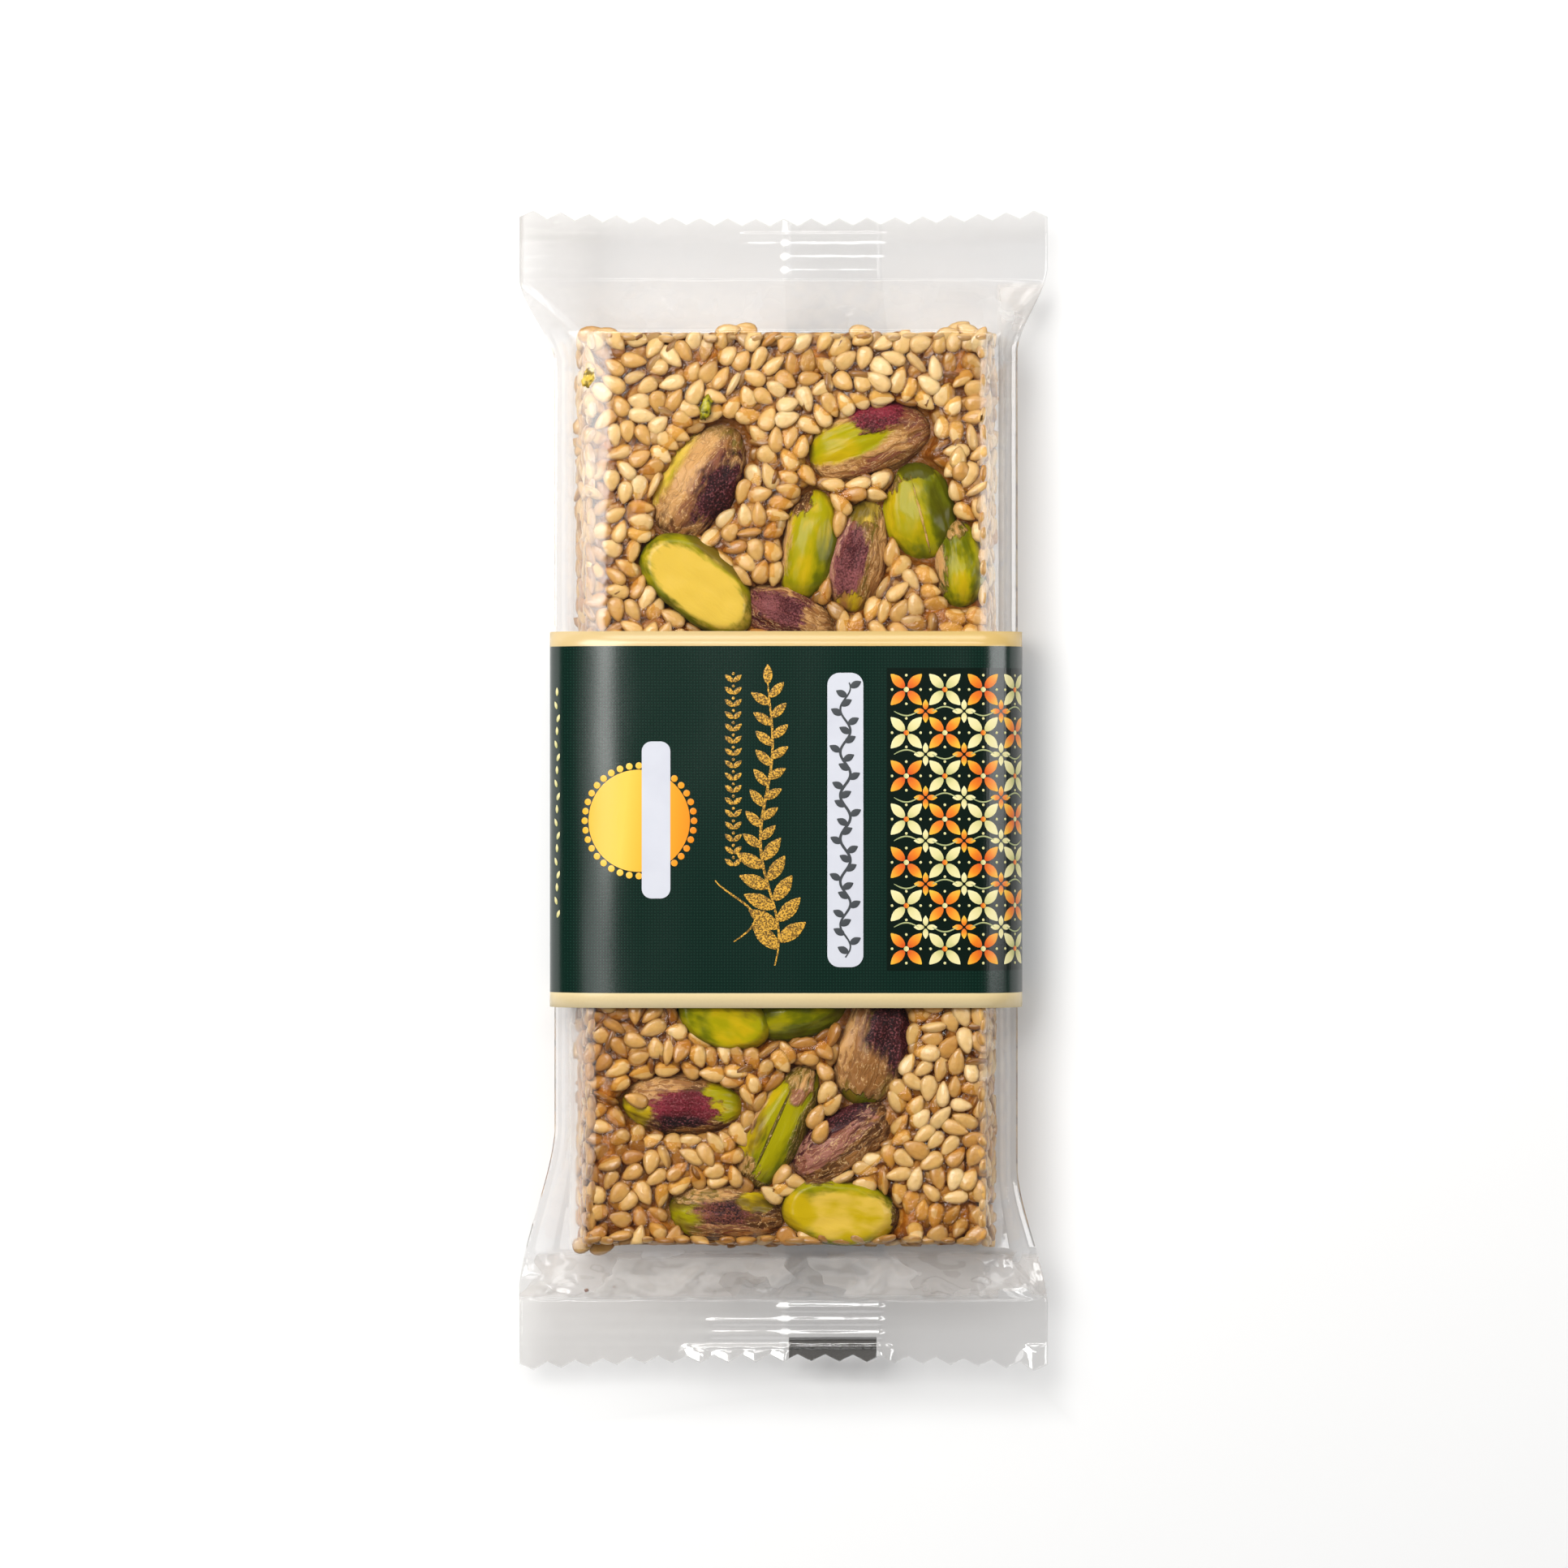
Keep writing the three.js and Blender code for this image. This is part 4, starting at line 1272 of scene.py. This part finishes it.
places = film_places()
film_shape = block(FILM_COLUMNS, len(places) - 1, 1)
for vert in film_shape.verts:
    column = round((vert.co.x + 0.5) * FILM_COLUMNS)
    row = round((vert.co.y + 0.5) * (len(places) - 1))
    across = column / FILM_COLUMNS * 2 - 1
    vert.co = film_surface(across, to_cut_edge(across, places[row]), vert.co.z > 0)

# The film is clear. It scatters a little light, as haze, everywhere and more where it is sealed at the near
# end. The rest of its haze is painted light: a painted reflection beside the bar, painted light on the film
# left of the near end, and painted reflections on crumpled facets of the tents and the far right side. It
# dims what lies behind it, as smoke, on the far seal, its skirt, the far left ear and the seal's left rim,
# and as painted shade on facets that turn away from the light.
film = Paint("clear_film")
where = film.place()
film_x, film_y, _ = film.parts(where)
ripple = film.clouds(film.stretch(where, (0.5, 1.2, 1.0)), 0.4, 2)
relief = film.bump(ripple, 0.06)
clear = film.see_through((0.95, 0.95, 0.952, 1))
haze = film.matt((0.8, 0.76, 0.72, 1))
smoke = film.matt((0.4, 0.36, 0.32, 1))
sealed = film.fade(abs(film_y), SEAL_START - 3.0, SEAL_START + 0.5)
from_bar = abs(film_x - BODY_SHIFT)
left_side = film.fade(0.03 * film_y - film_x, 22.2, 24.2)
right_side = film.fade(film_x, 23.2, 24.6)
past_bar = film.fade(from_bar, 26.2, 26.8)
past_ends = film.fade(abs(film_y), 55.0, 57.0)
near_left_side = left_side * film.fade(film_y, -26.0, -31.0)
beside_bar = (left_side + 0.5 * right_side + 0.8 * near_left_side) * (1 - past_bar) * (1 - past_ends)
facet = {"Vector": film.warped(where, 0.16, 9), "Scale": 0.16}
first_cell, second_cell, _ = film.parts(film.node("ShaderNodeTexVoronoi", inputs=facet, output="Color"))
tent = film.fade(film_y, -56.8, -57.6) * (1 - film.fade(film_y, -61.8, -62.8))
before_seal = 1 - film.fade(film_y, 61.8, 62.8)
far_tent = film.fade(film_y, 56.8, 57.6) * before_seal
far_right_side = film.fade(film_y, 42.0, 52.0) * before_seal * film.fade(film_x, 26.0, 26.8)
# Painted reflections: lighter cells of crumpled film on the near tent, a little on the far tent, and on the
# far right side.
creased = film.fade(first_cell, 0.45, 0.47) * (tent + 0.14 * far_tent + 0.7 * far_right_side)
near_seal = sealed * film.fade(film_y, 0.0, -1.0)
far_seal = film.fade(film_y, SEAL_START - 3.0, SEAL_START + 0.5)
far_skirt = film.fade(film_y, 66.5, 69.0)
near_left = film.fade(film_y, -56.5, -58.5) * film.fade(film_x, 4.0, -24.0)
haze_and_reflection = 0.004 + 0.075 * near_seal + 0.12 * near_left + 0.16 * beside_bar + 0.32 * creased
misty = film.blend(haze_and_reflection, clear, haze)
across_tent = tent * film.fade(film_x, -30.0, -8.0)
shaded = film.fade(second_cell, 0.5, 0.52) * (across_tent + 0.5 * far_right_side)
beyond_corner = abs(film_x) - 23.6
off_fold = abs(film_y - 55.2 - 0.86 * beyond_corner)
on_fold = (1 - film.fade(off_fold, 0.35, 0.8)) * film.fade(beyond_corner, -0.4, 0.4) * before_seal
far_left_ear = film.fade(film_y, 54.5, 57.5) * film.fade(film_x, -19.0, -27.0) * (1 - on_fold)
left_rim = film.fade(film_x, -31.9, -32.3) * far_seal
smoke_and_shade = 0.025 * far_seal + 0.07 * far_skirt + 0.2 * shaded + 0.1 * far_left_ear + 0.12 * left_rim
body = film.blend(smoke_and_shade, misty, smoke)
dulled = 0.09 + 0.22 * beside_bar
far_end = film.fade(film_y, 54.5, 57.5)
shine = (0.06 + 0.94 * film.glance() ** 5) * (1 - 0.6 * far_end - 0.32 * far_left_ear)
film_material = film.shiny(body, shine, Roughness=dulled, Normal=relief)
wrapper = finish("film", film_shape, film_material)
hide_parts("flow_wrap")

# ---------------------------------------------------------------------------------------------------
# Back seam: the two long edges of the film, sealed face to face and folded flat against the base. A dark
# mark is printed on it near one end, for the machine that cuts the packs apart.

SEAM_THICKNESS = 0.12
SEAM_DROP = 0.03  # below the film's underside
MARK_THICKNESS = 0.01
MARK_DROP = 0.01
MARK_LEFT = 0.65
MARK_RIGHT = 11.45
MARK_START = 67.3


def under_film(bm, left, right, row, drop, thickness):
    """Lays a unit box along the film's underside. Row gives the place along the pack of a share of it."""
    for vert in bm.verts:
        across = lerp(left, right, vert.co.x + 0.5) / FILM_FLAT_HALF
        y = to_cut_edge(across, row(vert.co.y + 0.5))
        level = drop + (0.5 - vert.co.z) * thickness
        vert.co = film_surface(across, y, upper=False) - Vector((0, 0, level))
    bmesh.ops.recalc_face_normals(bm, faces=bm.faces)


def film_row(share):
    return places[round(share * (len(places) - 1))]


def mark_row(share):
    return -lerp(MARK_START, PACK_HALF_LENGTH, share)


seam_shape = block(14, len(places) - 1, 1)
under_film(seam_shape, SEAM_LEFT, SEAM_RIGHT, film_row, SEAM_DROP, SEAM_THICKNESS)
seam = Paint("seam_film")
seam_clear = seam.see_through((0.996, 0.996, 0.996, 1))
seam_shine = 0.02 + 0.6 * seam.glance() ** 5
seam_material = seam.shiny(seam_clear, seam_shine, Roughness=0.1)
finish("back_seam", seam_shape, seam_material)

mark_shape = block(52, 14, 1)
under_film(mark_shape, MARK_LEFT, MARK_RIGHT, mark_row, MARK_DROP, MARK_THICKNESS)
mark_ink = Paint("mark_ink")
mark_material = mark_ink.surface(Base_Color=tint(5, 12, 12), Roughness=0.25)
finish("registration_mark", mark_shape, mark_material)

# ---------------------------------------------------------------------------------------------------
# Paper band: a strip of coated paper, wrapped round the pack and glued where its ends overlap at the
# back. It is printed dark green with a fine screen, between two cream edges.

PAPER = 0.2
BAND_HALF = (band_high.x - band_low.x) / 2
BAND_MIDDLE = (band_high.x + band_low.x) / 2
BAND_TOP = band_high.z
BAND_FLAT_LEFT = 18.2  # the paper bends over the left edge more gently than over the right one
BAND_FLAT_RIGHT = 22.2
BAND_FLAT_BASE = 24.2
BAND_OVERLAP = 9.0
QUARTER_PIECES = 24
SIDE_FULLNESS = 0.62  # how far out the flat face's direction is kept
CREASE_FULLNESS = 0.55  # how much of the height turns upright at the crease
FLAP_RAMP = 1.5
BORDER = 1.85
BORDER_BLUR = 0.08
SCREEN_LINES = 12  # of the printing screen, in radians to a millimetre


def band_quarter(flat, face):
    """Points from the edge of a flat face out to the crease."""
    corners = [
        (flat, face),
        (lerp(flat, BAND_HALF, SIDE_FULLNESS), face),
        (BAND_HALF, lerp(CREASE_HEIGHT, face, CREASE_FULLNESS)),
        (BAND_HALF, CREASE_HEIGHT),
    ]
    return [bezier(corners, k / QUARTER_PIECES) for k in range(QUARTER_PIECES + 1)]


def half_loop(flat):
    """Half of the paper's section, from the middle of the front to past the middle of the back."""
    front = [Vector((0, BAND_TOP))] + band_quarter(flat, BAND_TOP)
    return front + band_quarter(BAND_FLAT_BASE, 0.0)[-2::-1] + [Vector((-BAND_OVERLAP, 0))]


def girth(loop):
    """Length of half of the paper, without the overlap."""
    return sum((b - a).length for a, b in zip(loop, loop[1:])) - BAND_OVERLAP


left_loop = half_loop(BAND_FLAT_LEFT)
right_loop = half_loop(BAND_FLAT_RIGHT)
left_girth = girth(left_loop)
right_girth = girth(right_loop)


def band_point(s, y, lift):
    """A place on the band: s across the paper from the front's middle, y along, and lift above the paper."""
    loop = left_loop if s < 0 else right_loop
    left = abs(s)
    for first, second in zip(loop, loop[1:]):
        step = (second - first).length
        if left <= step:
            break
        left -= step
    ahead = (second - first).normalized()
    spot = first + ahead * left + Vector((-ahead.y, ahead.x)) * lift
    return Vector((math.copysign(1, s) * spot.x + BAND_MIDDLE, y, spot.y))


band_shape = block(230, 24, 1)
for vert in band_shape.verts:
    s = lerp(-left_girth - BAND_OVERLAP / 2, right_girth + BAND_OVERLAP / 2, vert.co.x + 0.5)
    under_flap = 1 - ease(s + left_girth, BAND_OVERLAP / 2, BAND_OVERLAP / 2 + FLAP_RAMP)
    inset = (0.5 - vert.co.z) * PAPER + under_flap * (PAPER + 0.03)
    vert.co = band_point(s, lerp(band_low.y, band_high.y, vert.co.y + 0.5), -inset)
bmesh.ops.recalc_face_normals(band_shape, faces=band_shape.faces)

paper = Paint("band_paper")
where = paper.place()
paper_x, paper_y, _ = paper.parts(where)
from_middle = abs(paper_y - (band_low.y + band_high.y) / 2)
border_start = (band_high.y - band_low.y) / 2 - BORDER
border = paper.fade(from_middle, border_start, border_start + BORDER_BLUR)
turned = paper.node("ShaderNodeMapping", inputs={"Vector": where, "Rotation": (0, 0, math.radians(45))})
screen_x, screen_y, _ = paper.parts(turned)
screen = (screen_x * SCREEN_LINES).maths("SINE") * (screen_y * SCREEN_LINES).maths("SINE")
fibre = paper.clouds(where, 3.0, 3)
slack = paper.clouds(paper.stretch(where, (1.0, 0.5, 1.0)), 0.07, 1)
green = paper.mix(paper.fade(screen, 0.1, 0.9) * 0.5, tint(7, 34, 26), tint(30, 64, 52))
green = paper.mix(fibre * 0.3, green, tint(5, 26, 20))
cream = paper.mix(paper.fade(paper_x, -20.0, 26.0), tint(208, 182, 130), tint(208, 176, 108))
# Painted light: the cream edge is painted lighter towards the near end, where less light reaches it.
cream = paper.mix(paper.fade(paper_y, 0.0, -20.0) * 0.6, cream, tint(250, 232, 186))
cream = paper.mix(fibre * 0.2, cream, tint(206, 176, 118))
fold_line = paper.fade(from_middle, 20.9, 20.98) * (1 - paper.fade(from_middle, 21.12, 21.2))
cream = paper.mix(fold_line * 0.8, cream, tint(60, 48, 22))
paper_material = paper.surface(
    Base_Color=paper.mix(border, green, cream),
    Roughness=0.2 + 0.05 * fibre,
    Specular_IOR_Level=0.6,
    Normal=paper.bump(fibre, 0.004, below=paper.bump(slack, 0.5)),
)
band = finish("band", band_shape, paper_material)
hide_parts("paper_band")

# ---------------------------------------------------------------------------------------------------
# Print on the band: inks laid on the paper in raised films a few hundredths of a millimetre thick. Shapes
# are drawn flat, as distance across the paper and along the pack, and then laid round the band.

INK = 0.02
INK_LIFT = 0.04
POINTED = 0.55  # how far a leaf narrows towards its tip
INK_NUMBERS = ("along", "tone")


def lay_on_band(bm, lift=INK_LIFT):
    """Bends a flat print round the band, this far above the paper."""
    for vert in bm.verts:
        vert.co = band_point(vert.co.x, vert.co.y, vert.co.z + lift)
    bmesh.ops.recalc_face_normals(bm, faces=bm.faces)


def join(target, part):
    """Adds a part to a shape that is made of many."""
    mesh = bpy.data.meshes.new("part")
    part.to_mesh(mesh)
    part.free()
    target.from_mesh(mesh)
    bpy.data.meshes.remove(mesh)


def new_print():
    bm = bmesh.new()
    numbered(bm, *INK_NUMBERS)
    return bm


def petal(bm, at, turn, length, width, tone=0.0):
    """A leaf from its stalk end at one place outwards, blunt at the stalk and pointed at the tip."""
    part = bmesh.new()
    bmesh.ops.create_uvsphere(part, u_segments=10, v_segments=9, radius=1)
    along_layer, tone_layer = numbered(part, *INK_NUMBERS)
    heading = pointing(math.radians(turn))
    aside = Vector((-heading.y, heading.x))
    for vert in part.verts:
        reach, side, up = vert.co.z, vert.co.x, vert.co.y
        vert[along_layer] = (reach + 1) / 2
        vert[tone_layer] = tone
        slim = 1 - POINTED * max(reach, 0) ** 1.5 + 0.1 * (1 - reach**2)
        spot = Vector(at) + heading * (reach + 1) / 2 * length + aside * side * slim * width / 2
        vert.co = (*spot, up * INK)
    join(bm, part)


def disc(bm, at, radius, rings=5, segments=12):
    """A round dot, slightly raised towards its middle."""
    part = bmesh.new()
    bmesh.ops.create_uvsphere(part, u_segments=segments, v_segments=rings, radius=1)
    along_layer, _ = numbered(part, *INK_NUMBERS)
    for vert in part.verts:
        vert[along_layer] = 0.5 + 0.5 * vert.co.x
        vert.co = (at[0] + vert.co.x * radius, at[1] + vert.co.y * radius, vert.co.z * INK)
    join(bm, part)


def stroke(bm, path, width, pieces=40):
    """A line of even width that follows a path, tapered at both ends."""
    part = block(pieces, 1, 1)
    along_layer, _ = numbered(part, *INK_NUMBERS)
    for vert in part.verts:
        share = vert.co.x + 0.5
        spot, ahead = path(share), path(share + 0.001)
        heading = (ahead - spot).normalized()
        taper = 0.25 + 0.75 * math.sin(math.pi * clamp(share, 0.02, 0.98)) ** 0.4
        offset = Vector((-heading.y, heading.x)) * vert.co.y * width * taper
        vert[along_layer] = share
        vert.co = (*(spot + offset), vert.co.z * 2 * INK)
    join(bm, part)


def tablet(bm, at, size, corner):
    """A rounded bar."""
    part = bmesh.new()
    bmesh.ops.create_cube(part, size=1)
    bmesh.ops.scale(part, vec=(*size, 2 * INK), verts=part.verts)
    upright = [e for e in part.edges if abs(e.verts[0].co.z - e.verts[1].co.z) > INK]
    bmesh.ops.bevel(part, geom=upright, offset=corner, segments=10, profile=0.5, affect="EDGES", material=-1)
    bmesh.ops.translate(part, vec=(*at, 0), verts=part.verts)
    join(bm, part)


# Gold seal: a disc of yellow-gold ink with a ring of beads round it, on the left of the paper. The ink was
# laid on in one pass, over the green.
SEAL_AT = Vector((-18.0, -3.7))
SEAL_RADIUS = 6.25
BEADS = 36
BEAD_RADIUS = 0.42
BEAD_GAP = 0.5
gold_seal_shape = new_print()
disc(gold_seal_shape, SEAL_AT, SEAL_RADIUS, rings=28, segments=72)
for k in range(BEADS):
    bead = SEAL_AT + pointing(2 * math.pi * k / BEADS) * (SEAL_RADIUS + BEAD_GAP)
    disc(gold_seal_shape, bead, BEAD_RADIUS, rings=6, segments=10)
lay_on_band(gold_seal_shape)

gold = Paint("gold_ink")
gold_x, gold_y, _ = gold.parts(gold.place())
sweep = (gold_x + 24.5) / 14 - 0.05 * (gold_y + 3.7) / 7
gold_colour = gold.ramp(
    sweep,
    (0.0, tint(238, 176, 40)),
    (1.0, tint(226, 130, 24)),
    (0.35, tint(246, 196, 76)),
    (0.62, tint(244, 172, 44)),
)
gold_material = gold.surface(Base_Color=gold_colour, Roughness=0.3, Specular_IOR_Level=0.4)
finish("gold_seal", gold_seal_shape, gold_material, smooth=False)

# Gold sprig: a curving stalk with pairs of seed-shaped leaves, and a row of lozenges beside it. Its ink is
# a duller gold, which covers the green unevenly.
LEAF_PAIRS = 13
LOZENGES = 16
LOZENGES_AT = -6.45
LOZENGE_PITCH = 1.5
sprig_shape = new_print()


def stalk(share):
    y = lerp(-21.4, 13.4, share)
    return Vector((-2.2 + 1.1 * math.sin(share * 9.0 + 0.6) * (1.3 - share), y))


def tendril(share):
    return Vector((-6.4, -18.5)) + Vector((2.6 * math.sin(share * 4.2), 7.5 * share))


stroke(sprig_shape, stalk, 0.34, 90)
for k in range(LEAF_PAIRS):
    share = 0.06 + 0.93 * k / LEAF_PAIRS
    size = 4.6 - 2.6 * share if k < 5 else 2.7
    spot = stalk(share)
    heading = math.degrees(math.atan2(*(stalk(share + 0.01) - spot).yx))
    petal(sprig_shape, spot, heading + 52, size, size * 0.42)
    petal(sprig_shape, spot + Vector((0, 0.9)), heading - 50, size * 0.92, size * 0.4)
petal(sprig_shape, stalk(0.99), 90, 2.4, 1.1)
stroke(sprig_shape, tendril, 0.26)
for k in range(LOZENGES):
    y = -9.2 + LOZENGE_PITCH * k
    petal(sprig_shape, (LOZENGES_AT, y), 40, 1.35, 0.6)
    petal(sprig_shape, (LOZENGES_AT, y), 140, 1.35, 0.6)
    disc(sprig_shape, (LOZENGES_AT, y + 1.0), 0.2)
lay_on_band(sprig_shape)

sprig_ink = Paint("speckled_gold_ink")
flakes = sprig_ink.clouds(sprig_ink.place(), 5.0, 3)
sprig_colour = sprig_ink.mix(sprig_ink.fade(flakes, 0.42, 0.6), tint(104, 74, 20), tint(222, 168, 58))
sprig_material = sprig_ink.surface(Base_Color=sprig_colour, Roughness=0.35)
finish("gold_sprig", sprig_shape, sprig_material, smooth=False)

# White print: a bar over the seal, and a long label to the right of the sprig. Both are flat areas of white
# ink with rounded corners.
LABEL_AT = 7.25
white_shape = new_print()
tablet(white_shape, (-15.9, -3.6), (3.5, 19.2), 1.2)
tablet(white_shape, (LABEL_AT, -3.6), (4.4, 36.0), 1.5)
lay_on_band(white_shape, INK_LIFT * 2)

white_ink = Paint("white_ink")
grain = white_ink.clouds(white_ink.place(), 0.25, 2)
white_colour = white_ink.mix(grain, tint(208, 210, 218), tint(194, 196, 206))
white_material = white_ink.surface(Base_Color=white_colour, Roughness=0.4)
finish("white_labels", white_shape, white_material, smooth=False)

# Grey garland: a waving stem with leaves on both sides, in dark grey ink down the middle of the long
# label. It is printed after the white, and lies over it.
LEAVES = 30
garland_shape = new_print()


def vine(share):
    return Vector((LABEL_AT + 0.62 * math.sin(share * 40), lerp(-20.4, 13.2, share)))


stroke(garland_shape, vine, 0.34, 160)
for k in range(LEAVES):
    share = (k + 0.5) / LEAVES
    side = 1 if k % 2 else -1
    petal(garland_shape, vine(share), 90 - side * 62, 1.5, 0.85)
lay_on_band(garland_shape, INK_LIFT * 3)
grey_ink = Paint("grey_ink")
grey_material = grey_ink.surface(Base_Color=tint(58, 62, 66), Roughness=0.4)
finish("grey_garland", garland_shape, grey_material, smooth=False)

# Patterned panel: large and small flowers of four petals in orange and cream, with dots and arcs between
# them, on a ground of darker green. It runs on round the side of the pack.
PANEL_LEFT = 12.35
PANEL_RIGHT = 31.2
PANEL_LOW = -22.0
PANEL_HIGH = 15.0
ground_shape = block(48, 1, 1)
for vert in ground_shape.verts:
    vert.co.x = lerp(PANEL_LEFT, PANEL_RIGHT, vert.co.x + 0.5)
    vert.co.y = lerp(PANEL_LOW, PANEL_HIGH, vert.co.y + 0.5)
    vert.co.z *= 2 * INK
lay_on_band(ground_shape, INK_LIFT / 2)
dark_ink = Paint("dark_ink")
dark_material = dark_ink.surface(Base_Color=tint(10, 24, 18), Roughness=0.21)
finish("panel_ground", ground_shape, dark_material, smooth=False)

orange_shape = new_print()
cream_shape = new_print()
arc_shape = new_print()

# A column of small lozenges, down the band's left edge.
EDGE_MARKS = 18
EDGE_MARKS_AT = -28.9
EDGE_MARK_PITCH = 1.6
for k in range(EDGE_MARKS):
    y = 11.6 - EDGE_MARK_PITCH * k
    petal(cream_shape, (EDGE_MARKS_AT, y), 90 + 30 * math.sin(k * 2.1), 1.05, 0.5)

PANEL_COLUMNS = 4
PANEL_ROWS = 7
step_x = (PANEL_RIGHT - PANEL_LEFT) / PANEL_COLUMNS
step_y = (PANEL_HIGH - PANEL_LOW) / PANEL_ROWS


def flower(bm, at, length, width, turn, tone):
    """Four petals round a small gap."""
    for k in range(4):
        heading = turn + 90 * k
        away = pointing(math.radians(heading)) * length * 0.14
        petal(bm, Vector(at) + away, heading, length, width, tone + 0.15 * (k % 2))


def arc(x, y, bow):
    """A path that bows between two corners of the pattern."""
    return lambda share: Vector((x + step_x * (0.18 + 0.64 * share), y + bow * math.sin(math.pi * share)))


# Large flowers with dots round them, in the middles of the pattern's cells.
for column in range(PANEL_COLUMNS):
    for row in range(PANEL_ROWS):
        x = PANEL_LEFT + (column + 0.5) * step_x
        y = PANEL_LOW + (row + 0.5) * step_y
        warm = (column + row) % 2 == 0
        flower(orange_shape if warm else cream_shape, (x, y), 2.35, 1.15, 45, 0.2 + 0.5 * (row % 2))
        disc(cream_shape if warm else orange_shape, (x, y), 0.34)
        for quarter in range(4):
            dot = Vector((x, y)) + pointing(math.radians(90 * quarter)) * 1.75
            disc(cream_shape, dot, 0.17, rings=4, segments=8)

# Small flowers on the cells' corners, and arcs along the cells' edges between them.
for column in range(PANEL_COLUMNS):
    for row in range(1, PANEL_ROWS):
        x = PANEL_LEFT + column * step_x
        y = PANEL_LOW + row * step_y
        odd = (column + row) % 2 == 1
        if column > 0:
            flower(orange_shape if odd else cream_shape, (x, y), 1.25, 0.66, 0, 0.8)
        stroke(arc_shape, arc(x, y, 0.55 if odd else -0.55), 0.17, 16)

for bm, name, stops in (
    (orange_shape, "orange_print", [
        (0.0, tint(206, 70, 16)), (1.0, tint(240, 196, 60)), (0.45, tint(230, 128, 20)),
    ]),
    (cream_shape, "cream_print", [
        (0.0, tint(178, 178, 110)), (1.0, tint(236, 228, 176)), (0.4, tint(222, 212, 150)),
    ]),
    (arc_shape, "arc_print", [(0.0, tint(150, 160, 110)), (1.0, tint(190, 190, 130))]),
):
    lay_on_band(bm)
    ink = Paint(name + "_ink")
    along_petal, tone = [ink.trait(number) for number in INK_NUMBERS]
    place_share = ink.clouds(ink.place(), 0.8, 2)
    shade = along_petal * 0.8 + 0.3 * (place_share - 0.5) + 0.2 * tone
    ink_material = ink.surface(Base_Color=ink.ramp(shade, *stops), Roughness=0.35)
    finish(name, bm, ink_material, smooth=False)
